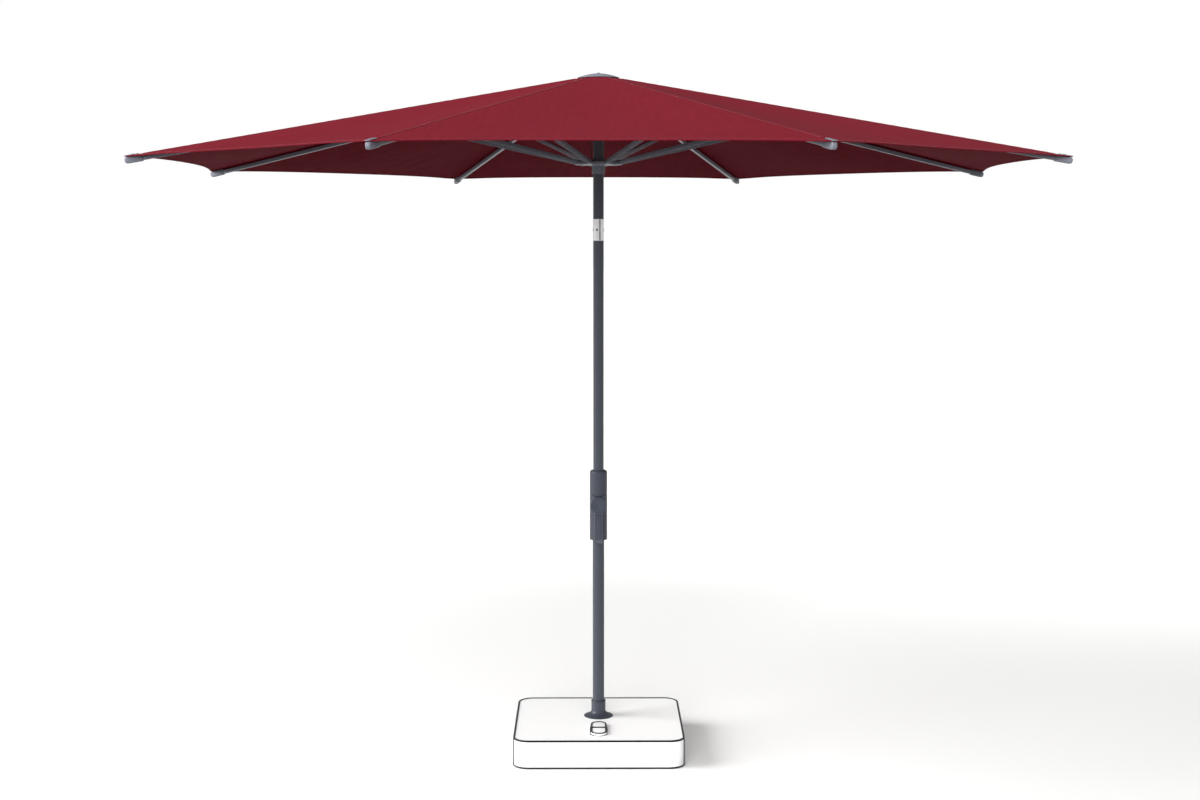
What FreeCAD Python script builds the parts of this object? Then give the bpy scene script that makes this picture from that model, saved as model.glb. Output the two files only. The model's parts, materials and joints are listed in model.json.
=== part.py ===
import FreeCAD, Part
import Sketcher
import math
import os
import re

# A 3.3 m market umbrella on a weighted base: eight ribs, eight struts, a crank that lifts the
# runner by a cord, a tilting knuckle, and a turning mast that a foot pedal locks.
# The origin is on the ground under the mast. +Z is up and the crank and the pedal face -Y.
# All sizes are in millimetres and degrees.

SIZES = {
    "canopy_radius": (1650, "mast axis to a corner of the canopy"),
    "rib_count": (8, "ribs, struts and gores"),
    "rib_slope": (10.9, "fall of an open rib below level"),
    "rib_closed": (87.5, "fall of a closed rib below level"),
    "rib_width": (12, "rib tube, across"),
    "rib_depth": (20, "rib tube, upright"),
    "rib_wall": (1.5, "rib tube wall"),
    "crown_radius": (58, "mast axis to a rib's pivot"),
    "crown_height": (2411, "ground to the rib pivots"),
    "hub_radius": (65, "crown hub"),
    "hub_rise": (10.5, "rib pivots to the hub's top"),
    "hub_drop": (13, "rib pivots to the hub disc's underside"),
    "hub_collar_wall": (5, "collar under the hub"),
    "hub_collar_length": (53, "collar under the hub"),
    "root_radius": (8, "rounded root of a rib"),
    "root_length": (15, "rib pivot to the end of the rib tube"),
    "pivot_radius": (2.5, "rib and strut pivot pins"),
    "slot_clearance": (0.5, "each side of a rib root or a strut end"),
    "running_clearance": (0.05, "radial play in a running fit"),
    "cap_radius": (74.5, "crown cap"),
    "cap_rise": (18.5, "crown cap, rim to peak"),
    "cap_thickness": (2, "crown cap"),
    "fabric_thickness": (1.0, "canopy"),
    "fabric_lift": (1.4, "rib top to the canopy's underside"),
    "fabric_hole": (72, "mast axis to the canopy's inner corners"),
    "hem_bow": (60, "how far a hem curves in at its middle"),
    "strut_reach": (720, "mast axis to the rib point above a strut's pivot"),
    "strut_offset": (20, "rib centre line to a strut's pivot"),
    "strut_width": (11, "strut channel, across"),
    "strut_depth": (16, "strut channel, upright"),
    "strut_wall": (1.5, "strut channel wall"),
    "runner_height": (2121.5, "ground to the runner's strut pins, canopy open"),
    "runner_pin_ring": (66, "mast axis to the runner's strut pins"),
    "runner_radius": (84, "runner disc"),
    "runner_disc": (11, "runner disc thickness"),
    "runner_neck_wall": (3.9, "runner neck"),
    "runner_neck_length": (32, "runner neck below the disc"),
    "runner_collar": (13, "runner collar above the disc"),
    "runner_play": (0.6, "between the mast and the runner"),
    "runner_pin_radius": (2.2, "cross pin in a strut's lower end"),
    "crank_turns": (14, "whole turns of the crank between open and closed"),
    "mast_radius": (19, "upper and middle mast tubes"),
    "mast_wall": (1.6, "upper and middle mast tubes"),
    "lower_mast_step": (2, "lower mast tube over the middle one, radius"),
    "lower_mast_wall": (1.8, "lower mast tube"),
    "tilt_height": (1884.5, "ground to the tilt pin"),
    "knuckle_radius": (34, "tilt pin to a cheek's round end"),
    "knuckle_gap": (0.3, "between the halves of the knuckle"),
    "knuckle_lap": (5, "mast axis to the plane where the halves meet"),
    "knuckle_shoulder": (38.5, "tilt pin to the ends of the mast tubes"),
    "knuckle_plug": (46, "length of a knuckle half inside its tube"),
    "tilt_pin_radius": (4, "tilt pin"),
    "cord_radius": (1.5, "lift cord"),
    "cord_behind": (9, "cord to the tilt pin's axis"),
    "cord_bore": (3.5, "cord passage in the knuckle"),
    "pulley_room": (0.5, "hub collar to the cord that hangs beside it"),
    "pulley_drop": (31, "rib pivots to the pulley's axis"),
    "pulley_half_width": (3.8, "pulley, mid-plane to a face"),
    "housing_radius": (31.5, "crank housing"),
    "housing_wall": (4, "crank housing"),
    "housing_bottom": (760, "ground to the housing's lower end"),
    "housing_top_end": (1015, "ground to the housing's upper end"),
    "housing_split": (931, "ground to the joint between the housing's halves"),
    "housing_seat": (40, "length of the lower mast's seat"),
    "housing_upper_seat": (60, "length of the middle mast's seat"),
    "crank_height": (890.5, "ground to the crank's axis"),
    "shaft_radius": (5, "crank shaft"),
    "disc_inset": (1.5, "crank disc inside the housing's outline"),
    "arm_thickness": (10, "crank disc and arm"),
    "arm_stand": (15.5, "housing wall to the arm's front face"),
    "arm_width": (29, "crank arm"),
    "arm_reach": (140, "crank axis to the arm's end"),
    "grip_width": (20.8, "folding grip"),
    "grip_length": (88, "folding grip, from its pivot"),
    "grip_pivot": (122.5, "crank axis to the grip's pivot"),
    "slab_width": (606, "base, across"),
    "slab_depth": (568, "base, front to back"),
    "slab_height": (100, "ground to the top of the base"),
    "slab_forward": (44, "mast axis to the middle of the base"),
    "slab_corner": (56, "base corner radius"),
    "cover_wall": (6, "base cover"),
    "trim_size": (3.5, "edge trims of the base"),
    "foot_height": (4, "rubber feet"),
    "foot_radius": (22, "rubber feet"),
    "tray_thickness": (5, "base tray"),
    "channel_room": (1.7, "socket foot to a ballast block's side"),
    "ballast_height": (80, "ballast blocks"),
    "bush_room": (3.5, "lower mast to the outside of the socket tube"),
    "socket_wall": (1.7, "socket tube"),
    "socket_top": (156, "ground to the socket tube's end"),
    "mast_foot": (26, "ground to the lower mast's end"),
    "rosette_radius": (53.4, "rosette flange"),
    "rosette_room": (1.5, "socket tube to the outside of the rosette neck"),
    "rosette_flare": (25, "height of the rosette's flare"),
    "rosette_top": (160, "ground to the rosette's end"),
    "pedal_width": (57, "foot pedal"),
    "pedal_length": (152, "foot pedal"),
    "pedal_thickness": (8, "foot pedal"),
    "pedal_back": (187, "mast axis to the pedal's axle"),
    "pedal_lift": (1, "base top to the pedal's underside"),
    "pedal_gap": (1.8, "around the pedal in the cover"),
    "pedal_axle_drop": (11, "base top down to the pedal's axle"),
    "pedal_axle_radius": (4, "pedal axle"),
    "lever_length": (35, "pedal axle to the brake rod"),
    "rod_radius": (5.95, "brake rod"),
    "rod_play": (3.6, "mast to the brake rod's tip"),
}

doc = FreeCAD.newDocument("patio_umbrella")
sheet = doc.addObject("Spreadsheet::Sheet", "Sizes")
ROWS = []
VALUES = {}


def add_size(alias, value, note):
    """Writes one named value into the sheet."""
    ROWS.append(alias)
    row = len(ROWS)
    sheet.set(f"A{row}", alias)
    sheet.set(f"B{row}", repr(float(value)))
    sheet.set(f"C{row}", note)
    sheet.setAlias(f"B{row}", alias)
    VALUES[alias] = float(value)


for size_name, (size_value, size_note) in SIZES.items():
    add_size(size_name, size_value, size_note)


def rib_point(fall, along, below):
    """Radius and height of a point on a rib that falls by `fall` degrees."""
    turn = math.radians(fall)
    radius = VALUES["crown_radius"] + along * math.cos(turn) - below * math.sin(turn)
    height = VALUES["crown_height"] - along * math.sin(turn) - below * math.cos(turn)
    return radius, height


def add_fitted_sizes():
    """Works out the sizes that follow the mast tubes and the crank housing."""
    mast = VALUES["mast_radius"]
    lower = mast + VALUES["lower_mast_step"]
    socket = lower + VALUES["bush_room"]
    bore = mast + VALUES["runner_play"]
    housing = VALUES["housing_radius"]
    add_size("lower_mast_radius", lower, "lower mast tube")
    add_size("socket_radius", socket, "socket tube")
    add_size("rosette_neck", socket + VALUES["rosette_room"], "rosette neck")
    add_size("hub_collar_radius", mast + VALUES["hub_collar_wall"], "collar under the hub")
    hanging = mast + VALUES["hub_collar_wall"] + VALUES["cord_radius"] + VALUES["pulley_room"]
    add_size("pulley_radius", hanging / 2, "pulley axis to the cord's centre")
    add_size("channel_half", 1.4 * socket + VALUES["channel_room"], "mast axis to a ballast block's side")
    add_size("runner_bore", bore, "runner bore radius")
    add_size("runner_neck_radius", bore + VALUES["runner_neck_wall"], "runner neck")
    add_size("housing_bore", housing - VALUES["housing_wall"], "inside of the crank housing")
    add_size("disc_radius", housing - VALUES["disc_inset"], "crank disc")
    add_size("arm_front", housing + VALUES["arm_stand"], "mast axis to the arm's front face")


def add_linkage_sizes():
    """Works out the sizes that the open and closed positions of the frame fix."""
    slope = math.radians(VALUES["rib_slope"])
    along = (VALUES["strut_reach"] - VALUES["crown_radius"]) / math.cos(slope)
    below = VALUES["strut_offset"]
    ring = VALUES["runner_pin_ring"]
    open_point = rib_point(VALUES["rib_slope"], along, below)
    shut_point = rib_point(VALUES["rib_closed"], along, below)
    across = open_point[0] - ring
    rise = open_point[1] - VALUES["runner_height"]
    length = math.hypot(across, rise)
    shut_height = shut_point[1] - math.sqrt(length ** 2 - (shut_point[0] - ring) ** 2)
    travel = VALUES["runner_height"] - shut_height
    shut_angle = math.degrees(math.atan2(shut_height - shut_point[1], ring - shut_point[0]))
    open_angle = math.degrees(math.atan2(-rise, -across))
    swing = (shut_angle + VALUES["rib_closed"]) - (open_angle + VALUES["rib_slope"])
    tip = (VALUES["canopy_radius"] - VALUES["crown_radius"]) / math.cos(slope)
    wrap = travel / (2 * math.pi * VALUES["crank_turns"])
    add_size("strut_station", along, "rib pivot to the strut saddle, along the rib")
    add_size("strut_length", length, "strut, pin to pin")
    add_size("strut_slope", math.degrees(math.atan2(rise, across)), "open strut above level")
    add_size("strut_swing", swing % 360, "turn of a strut on its rib")
    add_size("runner_travel", travel, "runner, open to closed")
    add_size("rib_reach", tip, "rib pivot to the canopy's corner, along the rib")
    add_size("wrap_radius", wrap, "crank axis to the centre of the cord as it winds")
    add_size("rib_fall", math.tan(slope), "fall of a rib per unit of radius")


add_fitted_sizes()
add_linkage_sizes()
doc.recompute()

PARTS = []
TURN = {
    "Z": FreeCAD.Rotation(),
    "Y": FreeCAD.Rotation(FreeCAD.Vector(1, 0, 0), -90),
    "X": FreeCAD.Rotation(FreeCAD.Vector(0, 1, 0), 90),
}
UP = FreeCAD.Vector(0, 0, 1)


def bind(obj, prop, text):
    """Binds a property to an expression written with the sheet's own names."""
    full = re.sub(r"[a-z][a-z_]+", lambda m: "Sizes." + m.group(0), text)
    obj.setExpression(prop, full)


def place(obj, x, y, z):
    """Binds an object's position."""
    for letter, text in zip("xyz", (x, y, z)):
        if text != "0":
            bind(obj, "Placement.Base." + letter, text)


def keep(obj, label):
    """Marks an object as a finished sub-part."""
    obj.Label = label
    PARTS.append(obj)
    return obj


def cylinder(name, radius, length, x="0", y="0", z="0", axis="Z"):
    """A cylinder that starts at the given point and runs along the axis."""
    obj = doc.addObject("Part::Cylinder", name)
    obj.Placement = FreeCAD.Placement(FreeCAD.Vector(0, 0, 0), TURN[axis])
    bind(obj, "Radius", radius)
    bind(obj, "Height", length)
    place(obj, x, y, z)
    return obj


def box(name, width, depth, height, x="0", y="0", z="0"):
    """A box centred on x and y whose underside is at z."""
    obj = doc.addObject("Part::Box", name)
    bind(obj, "Length", width)
    bind(obj, "Width", depth)
    bind(obj, "Height", height)
    place(obj, f"({x}) - ({width}) / 2", f"({y}) - ({depth}) / 2", z)
    return obj


def span(name, x0, x1, y0, y1, z0, z1):
    """A box between two corners."""
    obj = doc.addObject("Part::Box", name)
    bind(obj, "Length", f"({x1}) - ({x0})")
    bind(obj, "Width", f"({y1}) - ({y0})")
    bind(obj, "Height", f"({z1}) - ({z0})")
    place(obj, x0, y0, z0)
    return obj


def fuse(name, *shapes):
    """Joins solids that touch into one."""
    obj = doc.addObject("Part::MultiFuse", name)
    obj.Shapes = list(shapes)
    obj.Refine = True
    return obj


def group(name, *shapes):
    """Holds separate solids in one sub-part."""
    obj = doc.addObject("Part::Compound", name)
    obj.Links = list(shapes)
    return obj


def cut(name, base, *tools):
    """Takes the tools out of the base."""
    obj = doc.addObject("Part::Cut", name)
    obj.Base = base
    obj.Tool = tools[0] if len(tools) == 1 else fuse(name + "_tools", *tools)
    obj.Refine = True
    return obj


def tube(name, radius, wall, bottom, top):
    """An upright tube on the mast axis."""
    outer = cylinder(name + "_outer", radius, f"({top}) - ({bottom})", z=bottom)
    inner = cylinder(name + "_inner", f"({radius}) - ({wall})", f"({top}) - ({bottom})", z=bottom)
    return cut(name + "_tube", outer, inner)


def spun(name, obj, angle):
    """A copy of an object turned about the mast axis."""
    copy = group(name, obj)
    copy.Placement = FreeCAD.Placement(FreeCAD.Vector(0, 0, 0), FreeCAD.Rotation(UP, angle))
    return copy


def rib_angles():
    """Directions of the ribs, so that a hem faces each side."""
    count = int(VALUES["rib_count"])
    return [360.0 * (i + 0.5) / count for i in range(count)]


def around(name, obj):
    """Copies of an object, one at each rib."""
    return [spun(f"{name}_{i}", obj, angle) for i, angle in enumerate(rib_angles())]


def origin_plane(body, role):
    """One of the body's own origin planes."""
    return [f for f in body.Origin.OriginFeatures if f.Role == role][0]


def outline(body, name, points, role):
    """A closed sketch whose corners are bound to expressions."""
    sketch = body.newObject("Sketcher::SketchObject", name)
    sketch.AttachmentSupport = (origin_plane(body, role), [""])
    sketch.MapMode = "FlatFace"
    count = len(points)
    rough = []
    for i in range(count):
        turn = 2 * math.pi * i / count
        rough.append(FreeCAD.Vector(50 + 20 * math.cos(turn), 50 + 20 * math.sin(turn), 0))
    for i in range(count):
        sketch.addGeometry(Part.LineSegment(rough[i], rough[(i + 1) % count]), False)
    for i in range(count):
        sketch.addConstraint(Sketcher.Constraint("Coincident", i, 2, (i + 1) % count, 1))
    for i, (across, up) in enumerate(points):
        for kind, text, value in (("DistanceX", across, rough[i].x), ("DistanceY", up, rough[i].y)):
            index = sketch.addConstraint(Sketcher.Constraint(kind, -1, 1, i, 1, value))
            bind(sketch, f"Constraints[{index}]", text)
    return sketch


def turned(name, points):
    """A body turned from a profile of radius and height about its own Z axis."""
    body = doc.addObject("PartDesign::Body", name)
    profile = outline(body, name + "_profile", points, "XZ_Plane")
    doc.recompute()
    solid = body.newObject("PartDesign::Revolution", name + "_turn")
    solid.Profile = profile
    solid.ReferenceAxis = (profile, ["V_Axis"])
    solid.Angle = 360
    body.Tip = solid
    return body


def lay_along_y(body, x, y, z):
    """Turns a body so that its own Z axis points to the back."""
    body.Placement = FreeCAD.Placement(FreeCAD.Vector(0, 0, 0), TURN["Y"])
    place(body, x, y, z)
    return body


def edges_where(shape, test):
    """Names of the edges that pass a test."""
    return [f"Edge{i + 1}" for i, edge in enumerate(shape.Edges) if test(edge.BoundBox)]


def plate(name, width, depth, height, corner, x="0", y="0", z="0", rim=None):
    """A block with rounded upright corners, and a rounded top rim if one is given."""
    body = doc.addObject("PartDesign::Body", name)
    block = body.newObject("PartDesign::AdditiveBox", name + "_block")
    bind(block, "Length", width)
    bind(block, "Width", depth)
    bind(block, "Height", height)
    doc.recompute()
    last = body.newObject("PartDesign::Fillet", name + "_corners")
    last.Base = (block, edges_where(block.Shape, lambda b: b.ZLength > 1e-3))
    bind(last, "Radius", corner)
    doc.recompute()
    if rim:
        top = last.Shape.BoundBox.ZMax
        edges = edges_where(last.Shape, lambda b: b.ZMin > top - 1e-3)
        rounded = body.newObject("PartDesign::Fillet", name + "_rim")
        rounded.Base = (last, edges)
        bind(rounded, "Radius", rim)
        last = rounded
    body.Tip = last
    place(body, f"({x}) - ({width}) / 2", f"({y}) - ({depth}) / 2", z)
    return body


# ---------------------------------------------------------------- base


def slab_plate(name, inset, bottom, top, corner="slab_corner"):
    """A rounded block that follows the base's outline, set in all round."""
    width = f"slab_width - 2 * ({inset})"
    depth = f"slab_depth - 2 * ({inset})"
    radius = f"({corner}) - ({inset})"
    return plate(name, width, depth, f"({top}) - ({bottom})", radius, y="-slab_forward", z=bottom)


def slab_ring(name, inner_inset, bottom, top):
    """A ring that follows the base's outline."""
    outer = slab_plate(name + "_out", "0", bottom, top)
    inner = slab_plate(name + "_in", inner_inset, bottom, top)
    return cut(name, outer, inner)


def make_feet():
    """Four rubber pads under the tray."""
    feet = []
    for i, (side, end) in enumerate(((1, 1), (1, -1), (-1, 1), (-1, -1))):
        x = f"{side} * (slab_width / 2 - 2 * foot_radius - cover_wall)"
        y = f"{end} * (slab_depth / 2 - 2 * foot_radius - cover_wall) - slab_forward"
        feet.append(cylinder(f"foot_{i}", "foot_radius", "foot_height", x, y))
    return keep(group("feet_set", *feet), "base_feet")


def make_tray():
    """The steel tray that carries the weight."""
    top = "foot_height + tray_thickness"
    solid = slab_plate("tray_solid", "cover_wall + 0.5", "foot_height", top)
    return keep(solid, "base_tray")


def make_trims():
    """Dark beads round the top edge and round the foot of the cover."""
    upper = slab_ring("trim_upper", "trim_size", "slab_height - trim_size", "slab_height")
    lower = slab_ring("trim_lower", "cover_wall", "foot_height - trim_size", "foot_height")
    return keep(group("trims_set", upper, lower), "edge_trims")


def make_cover():
    """The moulded cover, hollow underneath, with openings for the mast and the pedal."""
    outer = slab_plate("cover_outer", "0", "foot_height", "slab_height")
    inner = slab_plate("cover_inner", "cover_wall", "foot_height", "slab_height - cover_wall")
    notch = slab_ring("cover_notch", "trim_size", "slab_height - trim_size", "slab_height")
    hole = cylinder("cover_hole", "socket_radius + 0.3", "slab_height", z="cover_wall")
    width = "pedal_width + 2 * pedal_gap"
    length = "pedal_length + 2 * pedal_gap"
    slot = plate("cover_slot", width, length, "2 * cover_wall", f"({width}) / 2 - 0.1",
                 y="-pedal_back", z="slab_height - 1.5 * cover_wall")
    return keep(cut("cover_cut", outer, inner, notch, hole, slot), "base_cover")


def make_ballast():
    """Four cast blocks that fill the cover on both sides of the middle channel."""
    width = "slab_width / 2 - cover_wall - 2 - channel_half"
    x = "(channel_half + slab_width / 2 - cover_wall - 2) / 2"
    bottom = "foot_height + tray_thickness"
    front_end = "-slab_forward - slab_depth / 2 + cover_wall + 2"
    back_end = "-slab_forward + slab_depth / 2 - cover_wall - 2"
    blocks = []
    for side in (1, -1):
        for end, (y0, y1) in enumerate(((front_end, "-1"), ("1", back_end))):
            name = f"ballast_{'r' if side > 0 else 'l'}{end}"
            blocks.append(plate(name, width, f"({y1}) - ({y0})", "ballast_height", "slab_corner - 4",
                                x=f"{side} * ({x})", y=f"(({y0}) + ({y1})) / 2", z=bottom))
    return keep(group("ballast_set", *blocks), "ballast_blocks")


def make_socket():
    """The steel tube that stands on the tray and guides the mast."""
    bottom = "foot_height + tray_thickness"
    outer = cylinder("socket_outer", "socket_radius", f"socket_top - ({bottom})", z=bottom)
    foot = box("socket_foot", "2.8 * socket_radius", "2.8 * socket_radius", "tray_thickness", z=bottom)
    inner = cylinder("socket_inner", "socket_radius - socket_wall", "socket_top", z=bottom)
    port = cylinder("socket_port", "rod_radius + running_clearance", "2 * socket_radius",
                    y="-2 * socket_radius", z="slab_height - pedal_axle_drop - lever_length", axis="Y")
    return keep(cut("socket_cut", fuse("socket_body", outer, foot), inner, port), "socket_tube")


def make_bushes():
    """Plastic bushes and the thrust disc that the mast turns in."""
    bore = "lower_mast_radius + running_clearance"
    seat = "socket_radius - socket_wall"
    bottom = "foot_height + tray_thickness"
    disc = cylinder("thrust_disc", seat, f"mast_foot - 0.3 - ({bottom})", z=bottom)
    rings = []
    for name, z0, z1 in (("bush_low", "mast_foot + 2", "mast_foot + 20"),
                         ("bush_high", "socket_top - 36", "socket_top")):
        rings.append(tube(name, seat, f"({seat}) - ({bore})", z0, z1))
    return keep(group("bushes_set", disc, *rings), "mast_bushes")


def make_rosette():
    """The flared collar that covers the joint of mast and base."""
    steps = 8
    inner = "socket_radius + 0.2"
    points = [(inner, "slab_height"), ("rosette_radius", "slab_height")]
    for i in range(steps + 1):
        part = i / steps
        grow = (1 - part) ** 2.4
        radius = f"rosette_neck + (rosette_radius - rosette_neck) * {grow:.4f}"
        height = f"slab_height + 2 + (rosette_flare - 2) * {part:.4f}"
        points.append((radius, height))
    points += [("rosette_neck", "rosette_top - 1"), ("rosette_neck - 1", "rosette_top"),
               ("lower_mast_radius + 0.3", "rosette_top"),
               ("lower_mast_radius + 0.3", "rosette_top - 3"), (inner, "rosette_top - 3")]
    return keep(turned("rosette_body", points), "rosette")


def make_pedal_well():
    """The tub under the cover that holds the pedal's axle."""
    width = "pedal_width + 2 * pedal_gap"
    length = "pedal_length + 2 * pedal_gap"
    top = "slab_height - cover_wall"
    floor = "slab_height - pedal_axle_drop - 12"
    shell = plate("well_shell", f"{width} + 6", f"{length} + 6", f"({top}) - ({floor})",
                  f"({width}) / 2 + 2.9", y="-pedal_back", z=floor)
    room = plate("well_room", width, length, f"({top}) - ({floor})", f"({width}) / 2 - 0.1",
                 y="-pedal_back", z=f"{floor} + 2")
    slot = box("well_slot", "16", "24", "10", y="-pedal_back", z=f"{floor} - 4")
    bore = cylinder("well_bore", "pedal_axle_radius", "2 * channel_half", x="-channel_half",
                    y="-pedal_back", z="slab_height - pedal_axle_drop", axis="X")
    return keep(cut("well_cut", shell, room, slot, bore), "pedal_well")


def make_pedal_axle():
    """The steel pin that the pedal rocks on."""
    half = "(pedal_width / 2 + pedal_gap + 3)"
    pin = cylinder("axle_pin", "pedal_axle_radius", f"2 * {half} - 0.4", x=f"0.2 - {half}",
                   y="-pedal_back", z="slab_height - pedal_axle_drop", axis="X")
    return keep(pin, "pedal_axle")


def make_pedal():
    """The rocking foot pedal with its two lugs and the finger that moves the brake rod."""
    axle = "slab_height - pedal_axle_drop"
    under = "slab_height + pedal_lift"
    pad = plate("pedal_pad", "pedal_width", "pedal_length", "pedal_thickness", "pedal_width / 2 - 0.1",
                y="-pedal_back", z=under, rim="1.5")
    boss = cylinder("pedal_boss", "2 * pedal_axle_radius", "36", x="-18", y="-pedal_back", z=axle,
                    axis="X")
    lug = box("pedal_lug", "36", "4 * pedal_axle_radius", f"{under} + 2 - ({axle})", y="-pedal_back",
              z=axle)
    finger = box("pedal_finger", "10", "8", "lever_length", y="-pedal_back",
                 z=f"{axle} - lever_length")
    knob = cylinder("pedal_knob", "5", "10", x="-5", y="-pedal_back", z=f"{axle} - lever_length",
                    axis="X")
    bore = cylinder("pedal_bore", "pedal_axle_radius + running_clearance", "60", x="-30",
                    y="-pedal_back", z=axle, axis="X")
    groove = box("pedal_groove", "pedal_width + 2", "1.6", "2", y="-pedal_back",
                 z=f"{under} + pedal_thickness - 1.2")
    solid = fuse("pedal_solid", pad, boss, lug, finger, knob)
    return keep(cut("pedal_cut", solid, bore, groove), "foot_pedal")


def make_brake_rod():
    """The rod that the pedal pushes against the mast."""
    z = "slab_height - pedal_axle_drop - lever_length"
    length = "pedal_back - lower_mast_radius - rod_play"
    rod = cylinder("rod_bar", "rod_radius", length, y="-pedal_back", z=z, axis="Y")
    fork = box("rod_fork", "20", "22", "18", y="-pedal_back", z=f"{z} - 9")
    slot = box("rod_slot", "10.8", "10.6", "30", y="-pedal_back", z=f"{z} - 5.6")
    return keep(cut("rod_cut", fuse("rod_solid", rod, fork), slot), "brake_rod")


# ---------------------------------------------------------------- mast and crank


def make_masts():
    """The lower, middle and upper mast tubes."""
    low = tube("lower_mast_body", "lower_mast_radius", "lower_mast_wall", "mast_foot",
               "housing_bottom + housing_seat")
    keep(low, "lower_mast")
    middle = tube("mid_mast_body", "mast_radius", "mast_wall", "housing_top_end - housing_upper_seat",
                  "tilt_height - knuckle_shoulder")
    keep(middle, "mid_mast")
    blank = tube("upper_mast_body", "mast_radius", "mast_wall", "tilt_height + knuckle_shoulder",
                 "crown_height - hub_drop + 7")
    slot = pulley_slot("upper_mast_slot")
    pin = pulley_bore("upper_mast_bore")
    keep(cut("upper_mast_cut", blank, slot, pin), "upper_mast")


def pulley_slot(name):
    """Room for the pulley through the mast and the collar."""
    return span(name, "-3.2 * pulley_radius", "0.5 * pulley_radius", "-pulley_half_width - 1",
                "pulley_half_width + 1", "crown_height - pulley_drop - pulley_radius - 4",
                "crown_height - pulley_drop + pulley_radius + 4")


def pulley_bore(name):
    """The hole for the pulley's pin."""
    return cylinder(name, "pivot_radius", "60", x="-pulley_radius", y="-30",
                    z="crown_height - pulley_drop", axis="Y")


def make_housing_body():
    """The lower half of the crank housing, with the crank's boss and bearings."""
    bore = "housing_bore"
    shoulder = "housing_bottom + housing_seat"
    points = [("lower_mast_radius", "housing_bottom"),
              ("(housing_radius + lower_mast_radius) / 2 + 0.25", "housing_bottom"),
              ("housing_radius - 1.5", "housing_bottom + 1.5"),
              ("housing_radius", "housing_bottom + 5"),
              ("housing_radius", "housing_split - 1"),
              ("housing_radius - 1", "housing_split - 0.3"),
              (bore, "housing_split - 0.3"),
              (bore, shoulder),
              ("lower_mast_radius", shoulder)]
    shell = turned("housing_shell", points)
    back = "arm_front - arm_thickness"
    front = cylinder("housing_boss", "housing_radius * 2 / 3", "housing_radius * 0.6", y=f"0.5 - ({back})",
                     z="crank_height", axis="Y")
    room = cylinder("housing_room", bore, f"housing_split - ({shoulder})", z=shoulder)
    nose = cut("housing_nose", front, room)
    rear = cylinder("housing_rear", "9", "housing_bore - cord_behind - 7", y="cord_behind + 8",
                    z="crank_height", axis="Y")
    bearing = cylinder("housing_bearing", "shaft_radius + running_clearance",
                       f"{back} + housing_bore - 0.5", y=f"-1 - ({back})", z="crank_height", axis="Y")
    return keep(cut("housing_cut", fuse("housing_solid", shell, nose, rear), bearing), "housing_body")


def make_housing_top():
    """The upper half of the crank housing, which holds the middle mast."""
    bore = "housing_bore"
    wall = "(housing_radius - mast_radius)"
    seat = "housing_top_end - housing_upper_seat"
    points = [("mast_radius", "housing_top_end"),
              ("mast_radius", seat),
              ("mast_radius - 3", seat),
              ("mast_radius - 3", f"{seat} - 7"),
              (bore, f"{seat} - 7"),
              (bore, "housing_split + 0.3"),
              ("housing_radius - 1", "housing_split + 0.3"),
              ("housing_radius", "housing_split + 1"),
              ("housing_radius", "housing_top_end - 9"),
              (f"housing_radius - 0.096 * {wall}", "housing_top_end - 4.5"),
              (f"housing_radius - 0.32 * {wall}", "housing_top_end - 1.4"),
              (f"housing_radius - 0.64 * {wall}", "housing_top_end")]
    return keep(turned("housing_top_body", points), "housing_top")


def within(size):
    """A size that grows and shrinks with the inside of the housing."""
    return f"({size} * housing_bore / 27.5)"


def make_brake():
    """The friction drum on the crank shaft and the band that grips it."""
    z = "crank_height"
    front, width, radius = within(-20), within(12), within(13)
    drum = cylinder("drum_outer", radius, width, y=front, z=z, axis="Y")
    hole = cylinder("drum_hole", "shaft_radius", width, y=front, z=z, axis="Y")
    keep(cut("drum_cut", drum, hole), "brake_drum")
    ring = cylinder("band_outer", within(16), width, y=front, z=z, axis="Y")
    tail = span("band_tail", within(10), within(20), within(-18), within(-12), f"{z} - {within(14)}",
                f"{z} + {within(14)}")
    void = cylinder("band_void", f"{radius} + running_clearance", f"{width} + 2", y=f"{front} - 1", z=z,
                    axis="Y")
    gap = span("band_gap", within(-18), within(-12), f"{front} - 1", f"{front} + {width} + 1",
               f"{z} - 2", f"{z} + 2")
    keep(cut("band_cut", fuse("band_solid", ring, tail), void, gap), "brake_band")


def make_spool():
    """The cord spool and the cord wound on it."""
    core = "wrap_radius - cord_radius - 3.5"
    wound = "wrap_radius - cord_radius - 0.05"
    flange, front = within(17), "(cord_behind - 5)"
    points = [("shaft_radius", front), (flange, front), (flange, f"{front} + 2"),
              (core, f"{front} + 2"), (core, f"{front} + 8"), (flange, f"{front} + 8"),
              (flange, f"{front} + 10"), ("shaft_radius", f"{front} + 10")]
    spool = lay_along_y(turned("spool_body", points), "0", "0", "crank_height")
    keep(spool, "cord_spool")
    outer = cylinder("winding_outer", wound, "6", y=f"{front} + 2", z="crank_height", axis="Y")
    inner = cylinder("winding_inner", core, "6", y=f"{front} + 2", z="crank_height", axis="Y")
    keep(cut("winding_cut", outer, inner), "cord_winding")


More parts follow.
